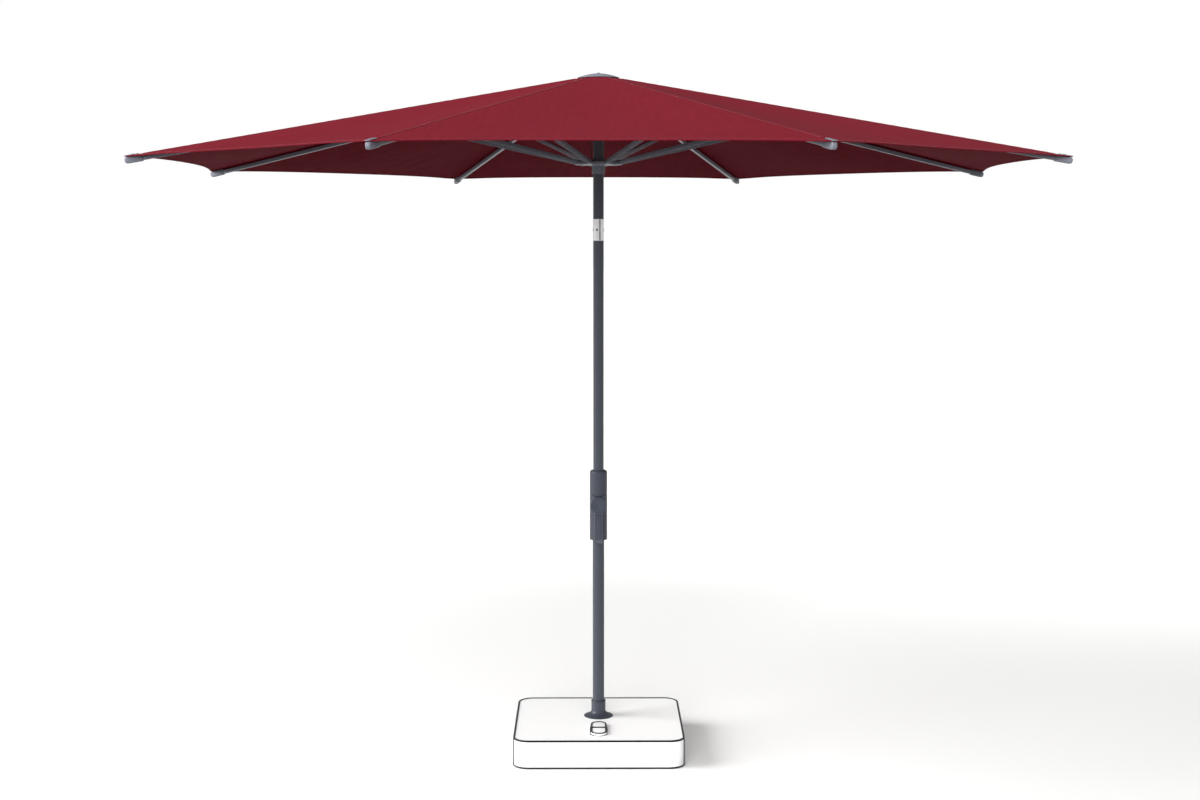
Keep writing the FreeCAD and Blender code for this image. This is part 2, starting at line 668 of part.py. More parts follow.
def make_crank():
    """The crank shaft, and the disc and channel-shaped arm in one casting."""
    shaft = cylinder("shaft_bar", "shaft_radius", "arm_front - arm_thickness + housing_bore - 2.5",
                     y="arm_thickness - arm_front", z="crank_height", axis="Y")
    keep(shaft, "crank_shaft")
    disc = cylinder("crank_disc", "disc_radius", "arm_thickness", y="-arm_front", z="crank_height",
                    axis="Y")
    bar = span("crank_bar", "-arm_width / 2", "arm_width / 2", "-arm_front",
               "arm_thickness - arm_front", "crank_height - arm_reach + arm_width / 4", "crank_height")
    end = span("crank_end", "-arm_width / 2 + 3", "arm_width / 2 - 3", "-arm_front",
               "arm_thickness - arm_front", "crank_height - arm_reach",
               "crank_height - arm_reach + arm_width")
    pocket = span("crank_pocket", "-grip_width / 2 - 0.6", "grip_width / 2 + 0.6", "-arm_front - 1",
                  "-arm_front + 7.4", "crank_height - grip_pivot - 11",
                  "crank_height - grip_pivot + grip_length + 1")
    pin = cylinder("crank_pin_bore", "2 + running_clearance", "arm_width", x="-arm_width / 2",
                   y="-arm_front + 3.5", z="crank_height - grip_pivot", axis="X")
    keep(cut("crank_cut", fuse("crank_solid", disc, bar, end), pocket, pin), "crank_arm")
    knuckle = cylinder("grip_knuckle", "3.2", "grip_width", x="-grip_width / 2",
                       y="-arm_front + 3.5", z="crank_height - grip_pivot", axis="X")
    grip = plate("grip_bar", "grip_width", "8.4", "grip_length", "2.6", y="-arm_front + 2.5",
                 z="crank_height - grip_pivot")
    axle = cylinder("grip_axle", "2", "arm_width - 1", x="0.5 - arm_width / 2",
                    y="-arm_front + 3.5", z="crank_height - grip_pivot", axis="X")
    keep(fuse("grip_solid", knuckle, grip, axle), "crank_grip")


def cross_cylinder(name, radius, x0, x1):
    """A cylinder on the tilt pin's axis."""
    return cylinder(name, radius, f"({x1}) - ({x0})", x=x0, z="tilt_height", axis="X")


def cord_passage(name):
    """The cord's hole through the knuckle, behind the tilt pin."""
    return cylinder(name, "cord_bore", "2 * (knuckle_shoulder + knuckle_plug) + 4", y="cord_behind",
                    z="tilt_height - knuckle_shoulder - knuckle_plug - 2")


def knuckle_half(name, upper):
    """One half of the knuckle: a round-ended cheek, a shoulder and a plug for its tube."""
    lap = "knuckle_lap + knuckle_gap" if upper else "knuckle_lap - knuckle_gap"
    edge = "mast_radius + 5"
    own = (lap, edge) if upper else (f"-({edge})", lap)
    other = (f"-({edge})", lap) if upper else (lap, edge)
    base = "tilt_height - knuckle_radius - 1" if upper else "tilt_height - knuckle_shoulder"
    length = "knuckle_shoulder + knuckle_radius + 1"
    blank = cylinder(name + "_blank", "mast_radius", length, z=base)
    away = cross_cylinder(name + "_away", "knuckle_radius + knuckle_gap", *other)
    slab_z = ("tilt_height - 60", "tilt_height") if upper else ("tilt_height", "tilt_height + 60")
    block = span(name + "_block", f"-({edge})", edge, f"-({edge})", edge, *slab_z)
    cheek = cross_cylinder(name + "_cheek", "knuckle_radius", *own)
    beyond = cut(name + "_beyond", block, cheek)
    plug_z = "tilt_height + knuckle_shoulder" if upper else "tilt_height - knuckle_shoulder - knuckle_plug"
    plug = cylinder(name + "_plug", "mast_radius - mast_wall", "knuckle_plug", z=plug_z)
    fit = "tilt_pin_radius + running_clearance" if upper else "tilt_pin_radius"
    bore = cross_cylinder(name + "_bore", fit, f"-({edge})", edge)
    shaped = cut(name + "_shaped", blank, away, beyond)
    return cut(name + "_cut", fuse(name + "_solid", shaped, plug), bore, cord_passage(name + "_cord"))


def make_knuckle():
    """Both halves of the tilting knuckle and the pin through them."""
    keep(knuckle_half("knuckle_low", False), "lower_knuckle")
    keep(knuckle_half("knuckle_high", True), "upper_knuckle")
    keep(cross_cylinder("tilt_bar", "tilt_pin_radius", "0.6 - mast_radius", "mast_radius - 0.6"),
         "tilt_pin")


def round_bar(start, end, radius):
    """A straight length of cord between two points."""
    line = end - start
    return Part.makeCylinder(radius, line.Length, start, line)


def make_cords():
    """The lift cord: up inside the mast, over the pulley and down to the runner."""
    radius = VALUES["cord_radius"]
    behind = VALUES["cord_behind"]
    tilt = VALUES["tilt_height"]
    wheel = VALUES["pulley_radius"]
    axis_height = VALUES["crown_height"] - VALUES["pulley_drop"]
    start = FreeCAD.Vector(VALUES["wrap_radius"], behind, VALUES["crank_height"])
    joint = FreeCAD.Vector(0, behind, tilt - 0.2)
    lower = doc.addObject("Part::Feature", "cord_lower")
    lower.Shape = round_bar(start, joint, radius)
    keep(lower, "lift_cord_lower")
    bend = FreeCAD.Vector(0, 0, axis_height - 6 * wheel)
    top = FreeCAD.Vector(0, 0, axis_height)
    ring = Part.Wire(Part.makeCircle(radius, top, UP))
    arch = Part.Face(ring).revolve(FreeCAD.Vector(-wheel, 0, axis_height), FreeCAD.Vector(0, -1, 0), 180)
    pieces = [Part.makeSphere(radius, bend), round_bar(bend, top, radius), arch]
    upper = doc.addObject("Part::Feature", "cord_upper")
    joint = FreeCAD.Vector(0, behind, tilt + 0.2)
    upper.Shape = round_bar(joint, bend, radius).multiFuse(pieces).removeSplitter()
    keep(upper, "lift_cord_upper")
    foot = "runner_height + runner_disc / 2 + 8"
    drop = cylinder("cord_drop", "cord_radius", f"crown_height - pulley_drop - ({foot})",
                    x="-2 * pulley_radius", z=foot)
    keep(drop, "lift_cord_drop")


def make_pulley():
    """The grooved wheel at the crown."""
    rim = "pulley_radius + cord_radius"
    floor = "pulley_radius - cord_radius - 0.05"
    groove = "cord_radius + 0.1"
    points = [("pivot_radius + running_clearance", "0"), (rim, "0"),
              (rim, f"pulley_half_width - ({groove})"), (floor, f"pulley_half_width - ({groove})"),
              (floor, f"pulley_half_width + {groove}"), (rim, f"pulley_half_width + {groove}"),
              (rim, "2 * pulley_half_width"),
              ("pivot_radius + running_clearance", "2 * pulley_half_width")]
    wheel = lay_along_y(turned("pulley_body", points), "-pulley_radius", "-pulley_half_width",
                        "crown_height - pulley_drop")
    return keep(wheel, "cord_pulley")


# ---------------------------------------------------------------- crown, runner and canopy


def make_crown_hub():
    """The hub with a slot for each rib and a collar on the mast."""
    bottom = "crown_height - hub_drop"
    points = [("mast_radius", f"{bottom} - hub_collar_length"),
              ("hub_collar_radius", f"{bottom} - hub_collar_length"),
              ("hub_collar_radius", bottom), ("hub_radius", bottom),
              ("hub_radius", "crown_height + hub_rise - 1"),
              ("hub_radius - 1", "crown_height + hub_rise"), ("0", "crown_height + hub_rise"),
              ("0", f"{bottom} + 7"), ("mast_radius", f"{bottom} + 7")]
    blank = turned("hub_blank", points)
    slot = span("hub_slot", "crown_radius - root_radius - 4", "hub_radius + 5",
                "-rib_width / 2 - slot_clearance", "rib_width / 2 + slot_clearance",
                f"{bottom} - 1", "crown_height + root_radius + 0.8")
    pin = cylinder("hub_pin_bore", "pivot_radius", "rib_width + 16", x="crown_radius",
                   y="-rib_width / 2 - 8", z="crown_height", axis="Y")
    tools = around("hub_slots", slot) + around("hub_bores", pin)
    tools += [pulley_slot("hub_pulley_slot"), pulley_bore("hub_pulley_bore")]
    keep(cut("hub_cut", blank, *tools), "crown_hub")
    pins = around("hub_pins", cylinder("hub_pin", "pivot_radius", "rib_width + 16", x="crown_radius",
                                       y="-rib_width / 2 - 8", z="crown_height", axis="Y"))
    axle = cylinder("pulley_axle", "pivot_radius", "2 * mast_radius", x="-pulley_radius",
                    y="-mast_radius", z="crown_height - pulley_drop", axis="Y")
    keep(group("hub_pins_set", axle, *pins), "crown_pins")


def make_crown_cap():
    """The shallow cap over the middle of the canopy."""
    rim = ("crown_height - (cap_radius - crown_radius) * rib_fall + rib_depth / 2 + 0.2"
           " + fabric_lift + fabric_thickness + 0.9")
    points = [("0", f"{rim} + cap_rise"), ("0", f"{rim} + cap_rise + cap_thickness"),
              ("6", f"{rim} + cap_rise + cap_thickness - 0.6"),
              ("cap_radius - 1", f"{rim} + cap_thickness"), ("cap_radius", f"{rim} + cap_thickness - 1"),
              ("cap_radius", rim), ("cap_radius - 4", rim)]
    return keep(turned("cap_body", points), "crown_cap")


def make_runner():
    """The sliding runner: neck, slotted disc and collar, open seats for the strut pins."""
    low = "runner_height - runner_disc / 2"
    high = "runner_height + runner_disc / 2"
    foot = f"{low} - runner_neck_length"
    top = f"{high} + runner_collar"
    points = [("runner_bore", foot), ("runner_neck_radius - 1", foot),
              ("runner_neck_radius", f"{foot} + 1"), ("runner_neck_radius", f"{low} - 4"),
              ("runner_neck_radius + 4", low), ("runner_radius - 1", low),
              ("runner_radius", f"{low} + 1"), ("runner_radius", f"{high} - 2"),
              ("runner_radius - 2", high), ("runner_neck_radius + 2", high),
              ("runner_neck_radius", f"{high} + 2"), ("runner_neck_radius", f"{top} - 1"),
              ("runner_neck_radius - 1", top), ("runner_bore", top)]
    blank = turned("runner_blank", points)
    lug = cylinder("runner_lug", "5", "8", x="-2 * pulley_radius", z=high)
    clear = cylinder("runner_lug_clear", "runner_bore", "30", z=f"{high} - 4")
    half = "strut_width / 2 + slot_clearance"
    slot = span("runner_slot", "runner_pin_ring - strut_depth", "runner_radius + 5", f"-({half})", half,
                f"{low} - 1", f"{high} + 1")
    seat = span("runner_seat", "runner_pin_ring - runner_pin_radius - 0.7",
                "runner_pin_ring + runner_pin_radius + 0.7", f"-({half}) - 5", f"{half} + 5",
                f"{low} - 1", "runner_height + runner_pin_radius + 0.3")
    tools = around("runner_slots", slot) + around("runner_seats", seat)
    solid = fuse("runner_solid", blank, cut("runner_lug_cut", lug, clear))
    return keep(cut("runner_cut", solid, *tools), "runner")


def rib_frame(angle):
    """Places a rib's own axes: X out along the rib, Z square to it, at the crown pivot."""
    spin = FreeCAD.Rotation(UP, angle)
    fall = FreeCAD.Rotation(FreeCAD.Vector(0, 1, 0), VALUES["rib_slope"])
    base = FreeCAD.Vector(VALUES["crown_radius"], 0, VALUES["crown_height"])
    return FreeCAD.Placement(spin.multVec(base), spin.multiply(fall))


def strut_frame(angle):
    """Places a strut's own axes: X out along the strut from the runner's pin."""
    spin = FreeCAD.Rotation(UP, angle)
    rise = FreeCAD.Rotation(FreeCAD.Vector(0, 1, 0), -VALUES["strut_slope"])
    base = FreeCAD.Vector(VALUES["runner_pin_ring"], 0, VALUES["runner_height"])
    return FreeCAD.Placement(spin.multVec(base), spin.multiply(rise))


def rib_pattern():
    """One rib tube along X."""
    half = "rib_width / 2"
    up = "rib_depth / 2"
    outer = span("rib_outer", "root_length", "rib_reach - 21", f"-{half}", half, f"-{up}", up)
    inner = span("rib_inner", "root_length", "rib_reach - 21", f"rib_wall - {half}",
                 f"{half} - rib_wall", f"rib_wall - {up}", f"{up} - rib_wall")
    return cut("rib_pattern", outer, inner)


def fitting_pattern():
    """What each rib carries: root plug, strut saddle with its pin, and the tip clip."""
    half = "rib_width / 2"
    up = "rib_depth / 2"
    eye = cylinder("root_eye", "root_radius", "rib_width", y=f"-{half}", axis="Y")
    neck = span("root_neck", "0", "root_length", f"-{half}", half, "-root_radius", "root_radius")
    plug = span("root_plug", "root_length", "root_length + 35", f"rib_wall + 0.05 - {half}",
                f"{half} - rib_wall - 0.05", f"rib_wall + 0.05 - {up}", f"{up} - rib_wall - 0.05")
    bore = cylinder("root_bore", "pivot_radius + running_clearance", "20", y="-10", axis="Y")
    root = cut("root_cut", fuse("root_solid", eye, neck, plug), bore)
    cheeks = []
    for name, y0, y1 in (("right", half, f"{half} + 2"), ("left", f"-{half} - 2", f"-{half}")):
        cheeks.append(span(f"saddle_{name}", "strut_station - 11", "strut_station + 11", y0, y1,
                           "-strut_offset - 6", f"{up} - 4"))
    pin = cylinder("saddle_pin", "pivot_radius", "rib_width + 8", x="strut_station",
                   y=f"-{half} - 4", z="-strut_offset", axis="Y")
    saddle = fuse("saddle_solid", pin, *cheeks)
    body = span("tip_body", "rib_reach - 59", "rib_reach - 12", f"-{half} - 2.5", f"{half} + 2.5",
                f"-{up} - 2.5", f"{up} + 0.3")
    nose = cylinder("tip_nose", f"{up} + 1.4", "rib_width + 5", x="rib_reach - 12.2",
                    y=f"-{half} - 2.5", z="-1.1", axis="Y")
    seat = span("tip_seat", "rib_reach - 60", "rib_reach - 21", f"-{half}", half, f"-{up}", up)
    rivet = cylinder("tip_rivet", "2.5", "3.4", x="rib_reach - 30", z=f"{up} + 0.1")
    over = f"{up} + fabric_lift + fabric_thickness + 0.4"
    jaw = span("tip_jaw", "rib_reach - 50", "rib_reach - 2", f"-{half} - 2.5", f"{half} + 2.5",
               over, f"{over} + 2")
    tip = cut("tip_cut", fuse("tip_solid", body, nose, rivet, jaw), seat)
    return group("fitting_pattern", root, saddle, tip)


def strut_pattern():
    """One strut along X: a channel with solid round ends, a bore and a cross pin."""
    half = "strut_width / 2"
    up = "strut_depth / 2"
    bar = span("strut_bar", "0", "strut_length", f"-{half}", half, f"-{up}", up)
    ends = []
    for name, x in (("low", "0"), ("high", "strut_length")):
        ends.append(cylinder(f"strut_end_{name}", up, "strut_width", x=x, y=f"-{half}", axis="Y"))
    hollow = span("strut_hollow", "14", "strut_length - 14", f"strut_wall - {half}",
                  f"{half} - strut_wall", f"-{up} - 1", f"{up} - strut_wall")
    bore = cylinder("strut_bore", "pivot_radius + running_clearance", "20", x="strut_length",
                    y="-10", axis="Y")
    pin = cylinder("strut_pin", "runner_pin_radius", "strut_width + 8", y=f"-{half} - 4", axis="Y")
    shaped = cut("strut_shaped", fuse("strut_solid", bar, *ends), hollow, bore)
    return fuse("strut_pattern", shaped, pin)


def make_frame_arms():
    """The ribs, their fittings and the struts, one set per corner of the canopy."""
    patterns = (("rib", rib_pattern(), rib_frame), ("rib_fittings", fitting_pattern(), rib_frame),
                ("strut", strut_pattern(), strut_frame))
    for label, pattern, frame in patterns:
        for i, angle in enumerate(rib_angles()):
            copy = group(f"{label}_copy_{i + 1}", pattern)
            copy.Placement = frame(angle)
            keep(copy, f"{label}_{i + 1}")


def canopy_point(angle, radius, lift):
    """A point on the canopy's underside above a rib's centre line, raised by `lift`."""
    slope = math.radians(VALUES["rib_slope"])
    fall = (radius - VALUES["crown_radius"]) * math.tan(slope)
    top = VALUES["rib_depth"] / 2 / math.cos(slope) + VALUES["fabric_lift"]
    turn = math.radians(angle)
    return FreeCAD.Vector(radius * math.cos(turn), radius * math.sin(turn),
                          VALUES["crown_height"] - fall + top + lift)


def make_canopy():
    """The canopy: flat gores between the ribs, each with a hem that curves in."""
    angles = rib_angles()
    step = angles[1] - angles[0]
    gores = []
    for angle in angles:
        low = [canopy_point(a, VALUES["fabric_hole"], 0) for a in (angle, angle + step)]
        far = [canopy_point(a, VALUES["canopy_radius"], 0) for a in (angle, angle + step)]
        middle = (far[0] + far[1]) * 0.5
        inward = (low[0] + low[1]) * 0.5 - middle
        inward.normalize()
        hem = Part.Arc(far[0], middle + inward * VALUES["hem_bow"], far[1]).toShape()
        edges = [Part.makeLine(low[0], far[0]), hem, Part.makeLine(far[1], low[1]),
                 Part.makeLine(low[1], low[0])]
        face = Part.Face(Part.Wire(edges))
        gores.append(face.extrude(FreeCAD.Vector(0, 0, VALUES["fabric_thickness"])))
    cloth = gores[0].multiFuse(gores[1:]).removeSplitter()
    rivets = []
    for angle in angles:
        frame = rib_frame(angle)
        hole = Part.makeCylinder(2.7, 20, FreeCAD.Vector(VALUES["rib_reach"] - 30, 0, 0))
        hole.Placement = frame
        rivets.append(hole)
    canopy = doc.addObject("Part::Feature", "canopy_cloth")
    canopy.Shape = cloth.cut(rivets)
    return keep(canopy, "canopy")


make_feet()
make_tray()
make_trims()
make_cover()
make_ballast()
make_socket()
make_bushes()
make_rosette()
make_pedal_well()
make_pedal_axle()
make_pedal()
make_brake_rod()
make_masts()
make_housing_body()
make_housing_top()
make_brake()
make_spool()
make_crank()
make_knuckle()
make_cords()
make_pulley()
make_crown_hub()
make_crown_cap()
make_runner()
make_frame_arms()
make_canopy()
doc.recompute()

for item in doc.Objects:
    if "Invalid" in item.State or "Error" in item.State:
        raise RuntimeError(f"{item.Name} did not build: {item.State}")
for item in PARTS:
    if item.Shape.isNull() or not item.Shape.isValid() or not item.Shape.Solids:
        raise RuntimeError(f"{item.Label} is not a valid solid")

os.makedirs("parts", exist_ok=True)
for item in PARTS:
    item.Shape.exportStep(os.path.join("parts", item.Label + ".step"))
for name in ROWS[len(SIZES):]:
    print(name, round(VALUES[name], 4))
print(len(PARTS), "sub-parts written")
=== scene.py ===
# %% [markdown]
# # A patio umbrella on a weighted base
# The imported frame of the umbrella is loaded first. It is fixed: every piece made below is placed
# by the boxes of the frame's own parts, and all but the lift cord ride on one of its bodies, so that
# the umbrella still turns, tilts, cranks and folds.

import json
import math

import bmesh
import bpy
import numpy as np
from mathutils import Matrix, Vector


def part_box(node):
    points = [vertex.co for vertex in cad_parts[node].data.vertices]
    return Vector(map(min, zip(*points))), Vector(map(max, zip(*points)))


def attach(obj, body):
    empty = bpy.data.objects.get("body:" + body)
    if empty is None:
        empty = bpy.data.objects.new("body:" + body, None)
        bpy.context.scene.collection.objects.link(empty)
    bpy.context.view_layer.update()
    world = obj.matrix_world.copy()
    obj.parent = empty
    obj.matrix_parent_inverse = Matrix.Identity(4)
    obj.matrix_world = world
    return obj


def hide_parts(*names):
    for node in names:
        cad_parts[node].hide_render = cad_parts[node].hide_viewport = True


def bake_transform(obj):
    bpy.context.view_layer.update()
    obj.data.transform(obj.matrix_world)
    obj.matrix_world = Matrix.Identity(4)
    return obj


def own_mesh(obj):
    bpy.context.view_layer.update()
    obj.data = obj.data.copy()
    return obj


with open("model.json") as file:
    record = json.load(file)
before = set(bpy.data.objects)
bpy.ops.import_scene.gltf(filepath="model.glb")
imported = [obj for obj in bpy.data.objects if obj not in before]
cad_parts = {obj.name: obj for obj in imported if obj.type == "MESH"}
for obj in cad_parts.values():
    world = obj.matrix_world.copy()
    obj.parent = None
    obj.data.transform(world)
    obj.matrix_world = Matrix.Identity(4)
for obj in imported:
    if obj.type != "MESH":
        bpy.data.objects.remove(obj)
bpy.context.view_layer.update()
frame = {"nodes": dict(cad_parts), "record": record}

# %% [markdown]
# ## The camera
# A full view from a little above head height, level with the canopy's rim. The lens is a normal
# one, about as long as the film is wide and a half, so the canopy shows as a shallow pyramid.

# %% Camera
CAMERA_PLACE = (-0.0317, -6.1725, 1.8618)
CAMERA_PITCH = 5.473
CAMERA_YAW = 0.346
CAMERA_LENS = 51.27

camera_data = bpy.data.cameras.new("camera")
camera_data.lens = CAMERA_LENS
camera_data.sensor_width = 36.0
camera = bpy.data.objects.new("camera", camera_data)
camera.location = CAMERA_PLACE
camera.rotation_euler = (math.radians(90 - CAMERA_PITCH), 0, math.radians(-CAMERA_YAW))
bpy.context.scene.collection.objects.link(camera)
bpy.context.scene.camera = camera
bpy.context.scene.view_settings.view_transform = "Standard"
print("camera:", CAMERA_LENS, "mm")

# %% [markdown]
# ## Light and floor
# A studio with a white floor and a large soft light on the left. Two weaker lights in front only
# fill the shade. The sky is white above and dim below the horizon, so the canopy's underside
# stays in the shade that it has outdoors.

# %% A node helper and colours
def linear(hex_colour):
    """An sRGB hex colour as linear red, green, blue and alpha."""
    raw = np.array([int(hex_colour[i:i + 2], 16) for i in (0, 2, 4)]) / 255
    low, high = raw / 12.92, ((raw + 0.055) / 1.055) ** 2.4
    return (*np.where(raw <= 0.04045, low, high).tolist(), 1.0)


def add(tree, kind, sockets=None, **settings):
    """Adds a node. Sockets are its inputs: a value, or the (node, output) that feeds it."""
    made = tree.nodes.new(kind)
    for key, value in settings.items():
        setattr(made, key, value)
    for key, value in (sockets or {}).items():
        if isinstance(value, tuple) and isinstance(value[0], bpy.types.Node):
            tree.links.new(value[0].outputs[value[1]], made.inputs[key])
        else:
            made.inputs[key].default_value = value
    return made


# %% Sky and lights
SKY_SEEN, SKY_ABOVE, SKY_BELOW = 1.0, 0.34, 0.20


def make_sky():
    """White where it is seen. As a light it is soft above the horizon and dimmer below it."""
    world = bpy.data.worlds.new("studio")
    bpy.context.scene.world = world
    world.use_nodes = True
    tree = world.node_tree
    tree.nodes.clear()
    where = add(tree, "ShaderNodeTexCoord")
    split = add(tree, "ShaderNodeSeparateXYZ", {0: (where, "Generated")})
    rise = add(tree, "ShaderNodeMapRange", {"Value": (split, "Z"), "From Min": -0.1, "From Max": 0.1,
                                            "To Min": SKY_BELOW, "To Max": SKY_ABOVE})
    lit = add(tree, "ShaderNodeBackground", {"Color": linear("FFFFFF"), "Strength": (rise, 0)})
    seen = add(tree, "ShaderNodeBackground", {"Color": linear("FFFFFF"), "Strength": SKY_SEEN})
    ray = add(tree, "ShaderNodeLightPath")
    sky = add(tree, "ShaderNodeMixShader", {0: (ray, "Is Camera Ray"), 1: (lit, 0), 2: (seen, 0)})
    add(tree, "ShaderNodeOutputWorld", {"Surface": (sky, 0)})


def make_light(name, turn, strength, spread, shine):
    """A very wide distant light, which is what a big soft box looks like from a small object. A
    fill light gives no highlight."""
    data = bpy.data.lights.new(name, "SUN")
    data.energy = strength
    data.angle = math.radians(spread)
    light = bpy.data.objects.new(name, data)
    light.rotation_euler = [math.radians(v) for v in turn]
    light.visible_glossy = shine
    bpy.context.scene.collection.objects.link(light)


make_sky()
make_light("key", (62, 0, -82), 3.3, 42, True)
make_light("front", (58, 0, -6), 2.0, 60, False)
make_light("low", (86, 0, -14), 2.6, 20, False)
print("lights: key, front, low and sky")


# %% Pale floor
FLOOR_RADIUS, FLOOR_SIDES = 90.0, 96


def make_floor():
    """A round sheet of pale floor far wider than the view."""
    material = bpy.data.materials.new("painted_studio_floor")
    material.use_nodes = True
    tree = material.node_tree
    tree.nodes.clear()
    grain = add(tree, "ShaderNodeTexNoise", {"Scale": 0.6, "Detail": 2.0})
    tone = add(tree, "ShaderNodeMix", {0: (grain, "Fac"), 6: linear("FCFCFB"), 7: linear("FEFEFD")},
               data_type="RGBA")
    skin = add(tree, "ShaderNodeBsdfPrincipled", {"Base Color": (tone, 2), "Roughness": 0.9})
    add(tree, "ShaderNodeOutputMaterial", {"Surface": (skin, 0)})
    turn = np.linspace(0, 2 * np.pi, FLOOR_SIDES, endpoint=False)
    rim = FLOOR_RADIUS * np.column_stack([np.cos(turn), np.sin(turn), 0 * turn])
    mesh = bpy.data.meshes.new("floor")
    mesh.from_pydata(rim.tolist(), [], [list(range(FLOOR_SIDES))])
    mesh.materials.append(material)
    floor = bpy.data.objects.new("floor", mesh)
    floor.visible_diffuse = False
    bpy.context.scene.collection.objects.link(floor)


make_floor()
print("floor:", FLOOR_RADIUS, "m in radius")

# %% [markdown]
# ## Surfaces from formulas
# Every new piece is one or more grids of points. A grid is worked out as a whole array, then its
# neighbouring points are joined by four-sided faces. Points that fall together, as at a pole, are
# merged, and a closed shape has its faces turned outwards.

# %% Grid helpers
CREASE = 38
WELD = 1e-6
def grid_faces(rows, columns, wrap_rows, wrap_columns, start):
    """Four-sided faces between the points of a grid whose first point has the number start."""
    number = np.arange(rows * columns).reshape(rows, columns) + start
    if wrap_rows:
        number = np.vstack([number, number[:1]])
    if wrap_columns:
        number = np.hstack([number, number[:, :1]])
    corners = (number[:-1, :-1], number[:-1, 1:], number[1:, 1:], number[1:, :-1])
    return np.stack([c.ravel() for c in corners], 1)


def capped(*arrays):
    """Grids that close across their rows and are capped at the first and last row."""
    return [(array, False, True, True) for array in arrays]


def spun(*arrays):
    """Grids that close across their rows and end at a pole or against another grid."""
    return [(array, False, True, False) for array in arrays]


def looped(*arrays):
    """Grids that close both ways."""
    return [(array, True, True, False) for array in arrays]


def build(name, points, faces, finish_name, weld=True):
    """A smooth, finished object with its faces turned outwards."""
    mesh = bpy.data.meshes.new(name)
    mesh.from_pydata(points.tolist(), [], faces)
    work = bmesh.new()
    work.from_mesh(mesh)
    if weld:
        bmesh.ops.remove_doubles(work, verts=work.verts, dist=WELD)
    bmesh.ops.recalc_face_normals(work, faces=work.faces)
    work.to_mesh(mesh)
    work.free()
    mesh.materials.append(FINISH[finish_name])
    mesh.shade_smooth()
    made = bpy.data.objects.new(name, mesh)
    bpy.context.scene.collection.objects.link(made)
    return made


def piece(name, grids, finish_name, body=None, stands_for=()):
    """An object of one or more grids, riding on a body if one is named. A grid is (points, wraps
    in rows, wraps in columns, has caps)."""
    points, faces, start = [], [], 0
    for array, wrap_rows, wrap_columns, has_caps in grids:
        rows, columns = array.shape[:2]
        points.append(array.reshape(-1, 3))
        faces += grid_faces(rows, columns, wrap_rows, wrap_columns, start).tolist()
        if has_caps:
            faces += [list(range(start, start + columns)),
                      list(range(start + (rows - 1) * columns, start + rows * columns))]
        start += rows * columns
    made = build(name, np.vstack(points), faces, finish_name)
    made.data.set_sharp_from_angle(angle=math.radians(CREASE))
    if body:
        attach(made, body)
    if stands_for:
        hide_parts(*stands_for)
    return made


def read(items, field, width, kind=float):
    """One field of every item of a mesh, as an array with so many columns."""
    raw = np.empty(len(items) * width, kind)
    items.foreach_get(field, raw)
    return raw.reshape(-1, width)


def lay_map(mesh, where):
    """Gives the mesh a UV map in metres. where turns the points at the faces' corners into u, v."""
    index = read(mesh.loops, "vertex_index", 1, np.int64)[:, 0]
    flat = np.stack(where(read(mesh.vertices, "co", 3)[index]), 1)
    mesh.uv_layers.new(name="cloth").data.foreach_set("uv", flat.ravel())


def walk(path):
    """The length of a path of points, and a function that gives its points at any distances."""
    run = np.concatenate([[0], np.cumsum(np.linalg.norm(np.diff(path, axis=0), axis=1))])
    return run[-1], lambda s: np.stack([np.interp(s, run, column) for column in path.T], 1)


def soften(corners, radius, steps=5):
    """Rounds the corners of an outline: each corner c becomes the curve
    (1-q)^2 a + 2q(1-q) c + q^2 b, where a and b lie on the two sides that meet there."""
    p = np.asarray(corners, float)
    before, after = np.roll(p, 1, 0) - p, np.roll(p, -1, 0) - p
    far_before = np.linalg.norm(before, axis=1, keepdims=True)
    far_after = np.linalg.norm(after, axis=1, keepdims=True)
    reach = np.minimum(np.array(radius)[:, None], 0.48 * np.minimum(far_before, far_after))
    a, b = p + before / far_before * reach, p + after / far_after * reach
    q = np.linspace(0, 1, steps)[None, :, None]
    bent = (1 - q) ** 2 * a[:, None] + 2 * q * (1 - q) * p[:, None] + q ** 2 * b[:, None]
    return bent.reshape(-1, 2)


def lathe(profile, turns=96, place=(0, 0, 0), axis="Z"):
    """A profile of (radius, height) carried round an axis: (r cos a, r sin a, h)."""
    a = np.linspace(0, 2 * np.pi, turns, endpoint=False)
    r, h = np.asarray(profile, float).T
    flat = np.stack([np.outer(r, np.cos(a)), np.outer(r, np.sin(a)), np.outer(h, 0 * a + 1)], -1)
    order = {"Z": [0, 1, 2], "Y": [1, 2, 0], "X": [2, 0, 1]}[axis]
    return flat[..., order] + np.asarray(place, float)


def rounded_box(width, depth, corner, count=24):
    """The outline of a rectangle with round corners: count points round each corner."""
    q = np.linspace(0, np.pi / 2, count)
    quarter = corner * np.stack([np.cos(q), np.sin(q)], 1)
    x, y = width / 2 - corner, depth / 2 - corner
    turned = [quarter, quarter[::-1] * (-1, 1), -quarter, quarter[::-1] * (1, -1)]
    return np.vstack([t + c for t, c in zip(turned, ((x, y), (-x, y), (-x, -y), (x, -y)))])


print("helpers ready")

# %% [markdown]
# ## Finishes
# Each finish is named for the real material and how its surface was made. Patterns that belong to
# a bulk material, such as orange peel in powder coat, follow object coordinates; a weave or a
# braid follows the piece's own UV map, measured in metres.

# %% Finish helper
MM = 0.001
FINISH = {}


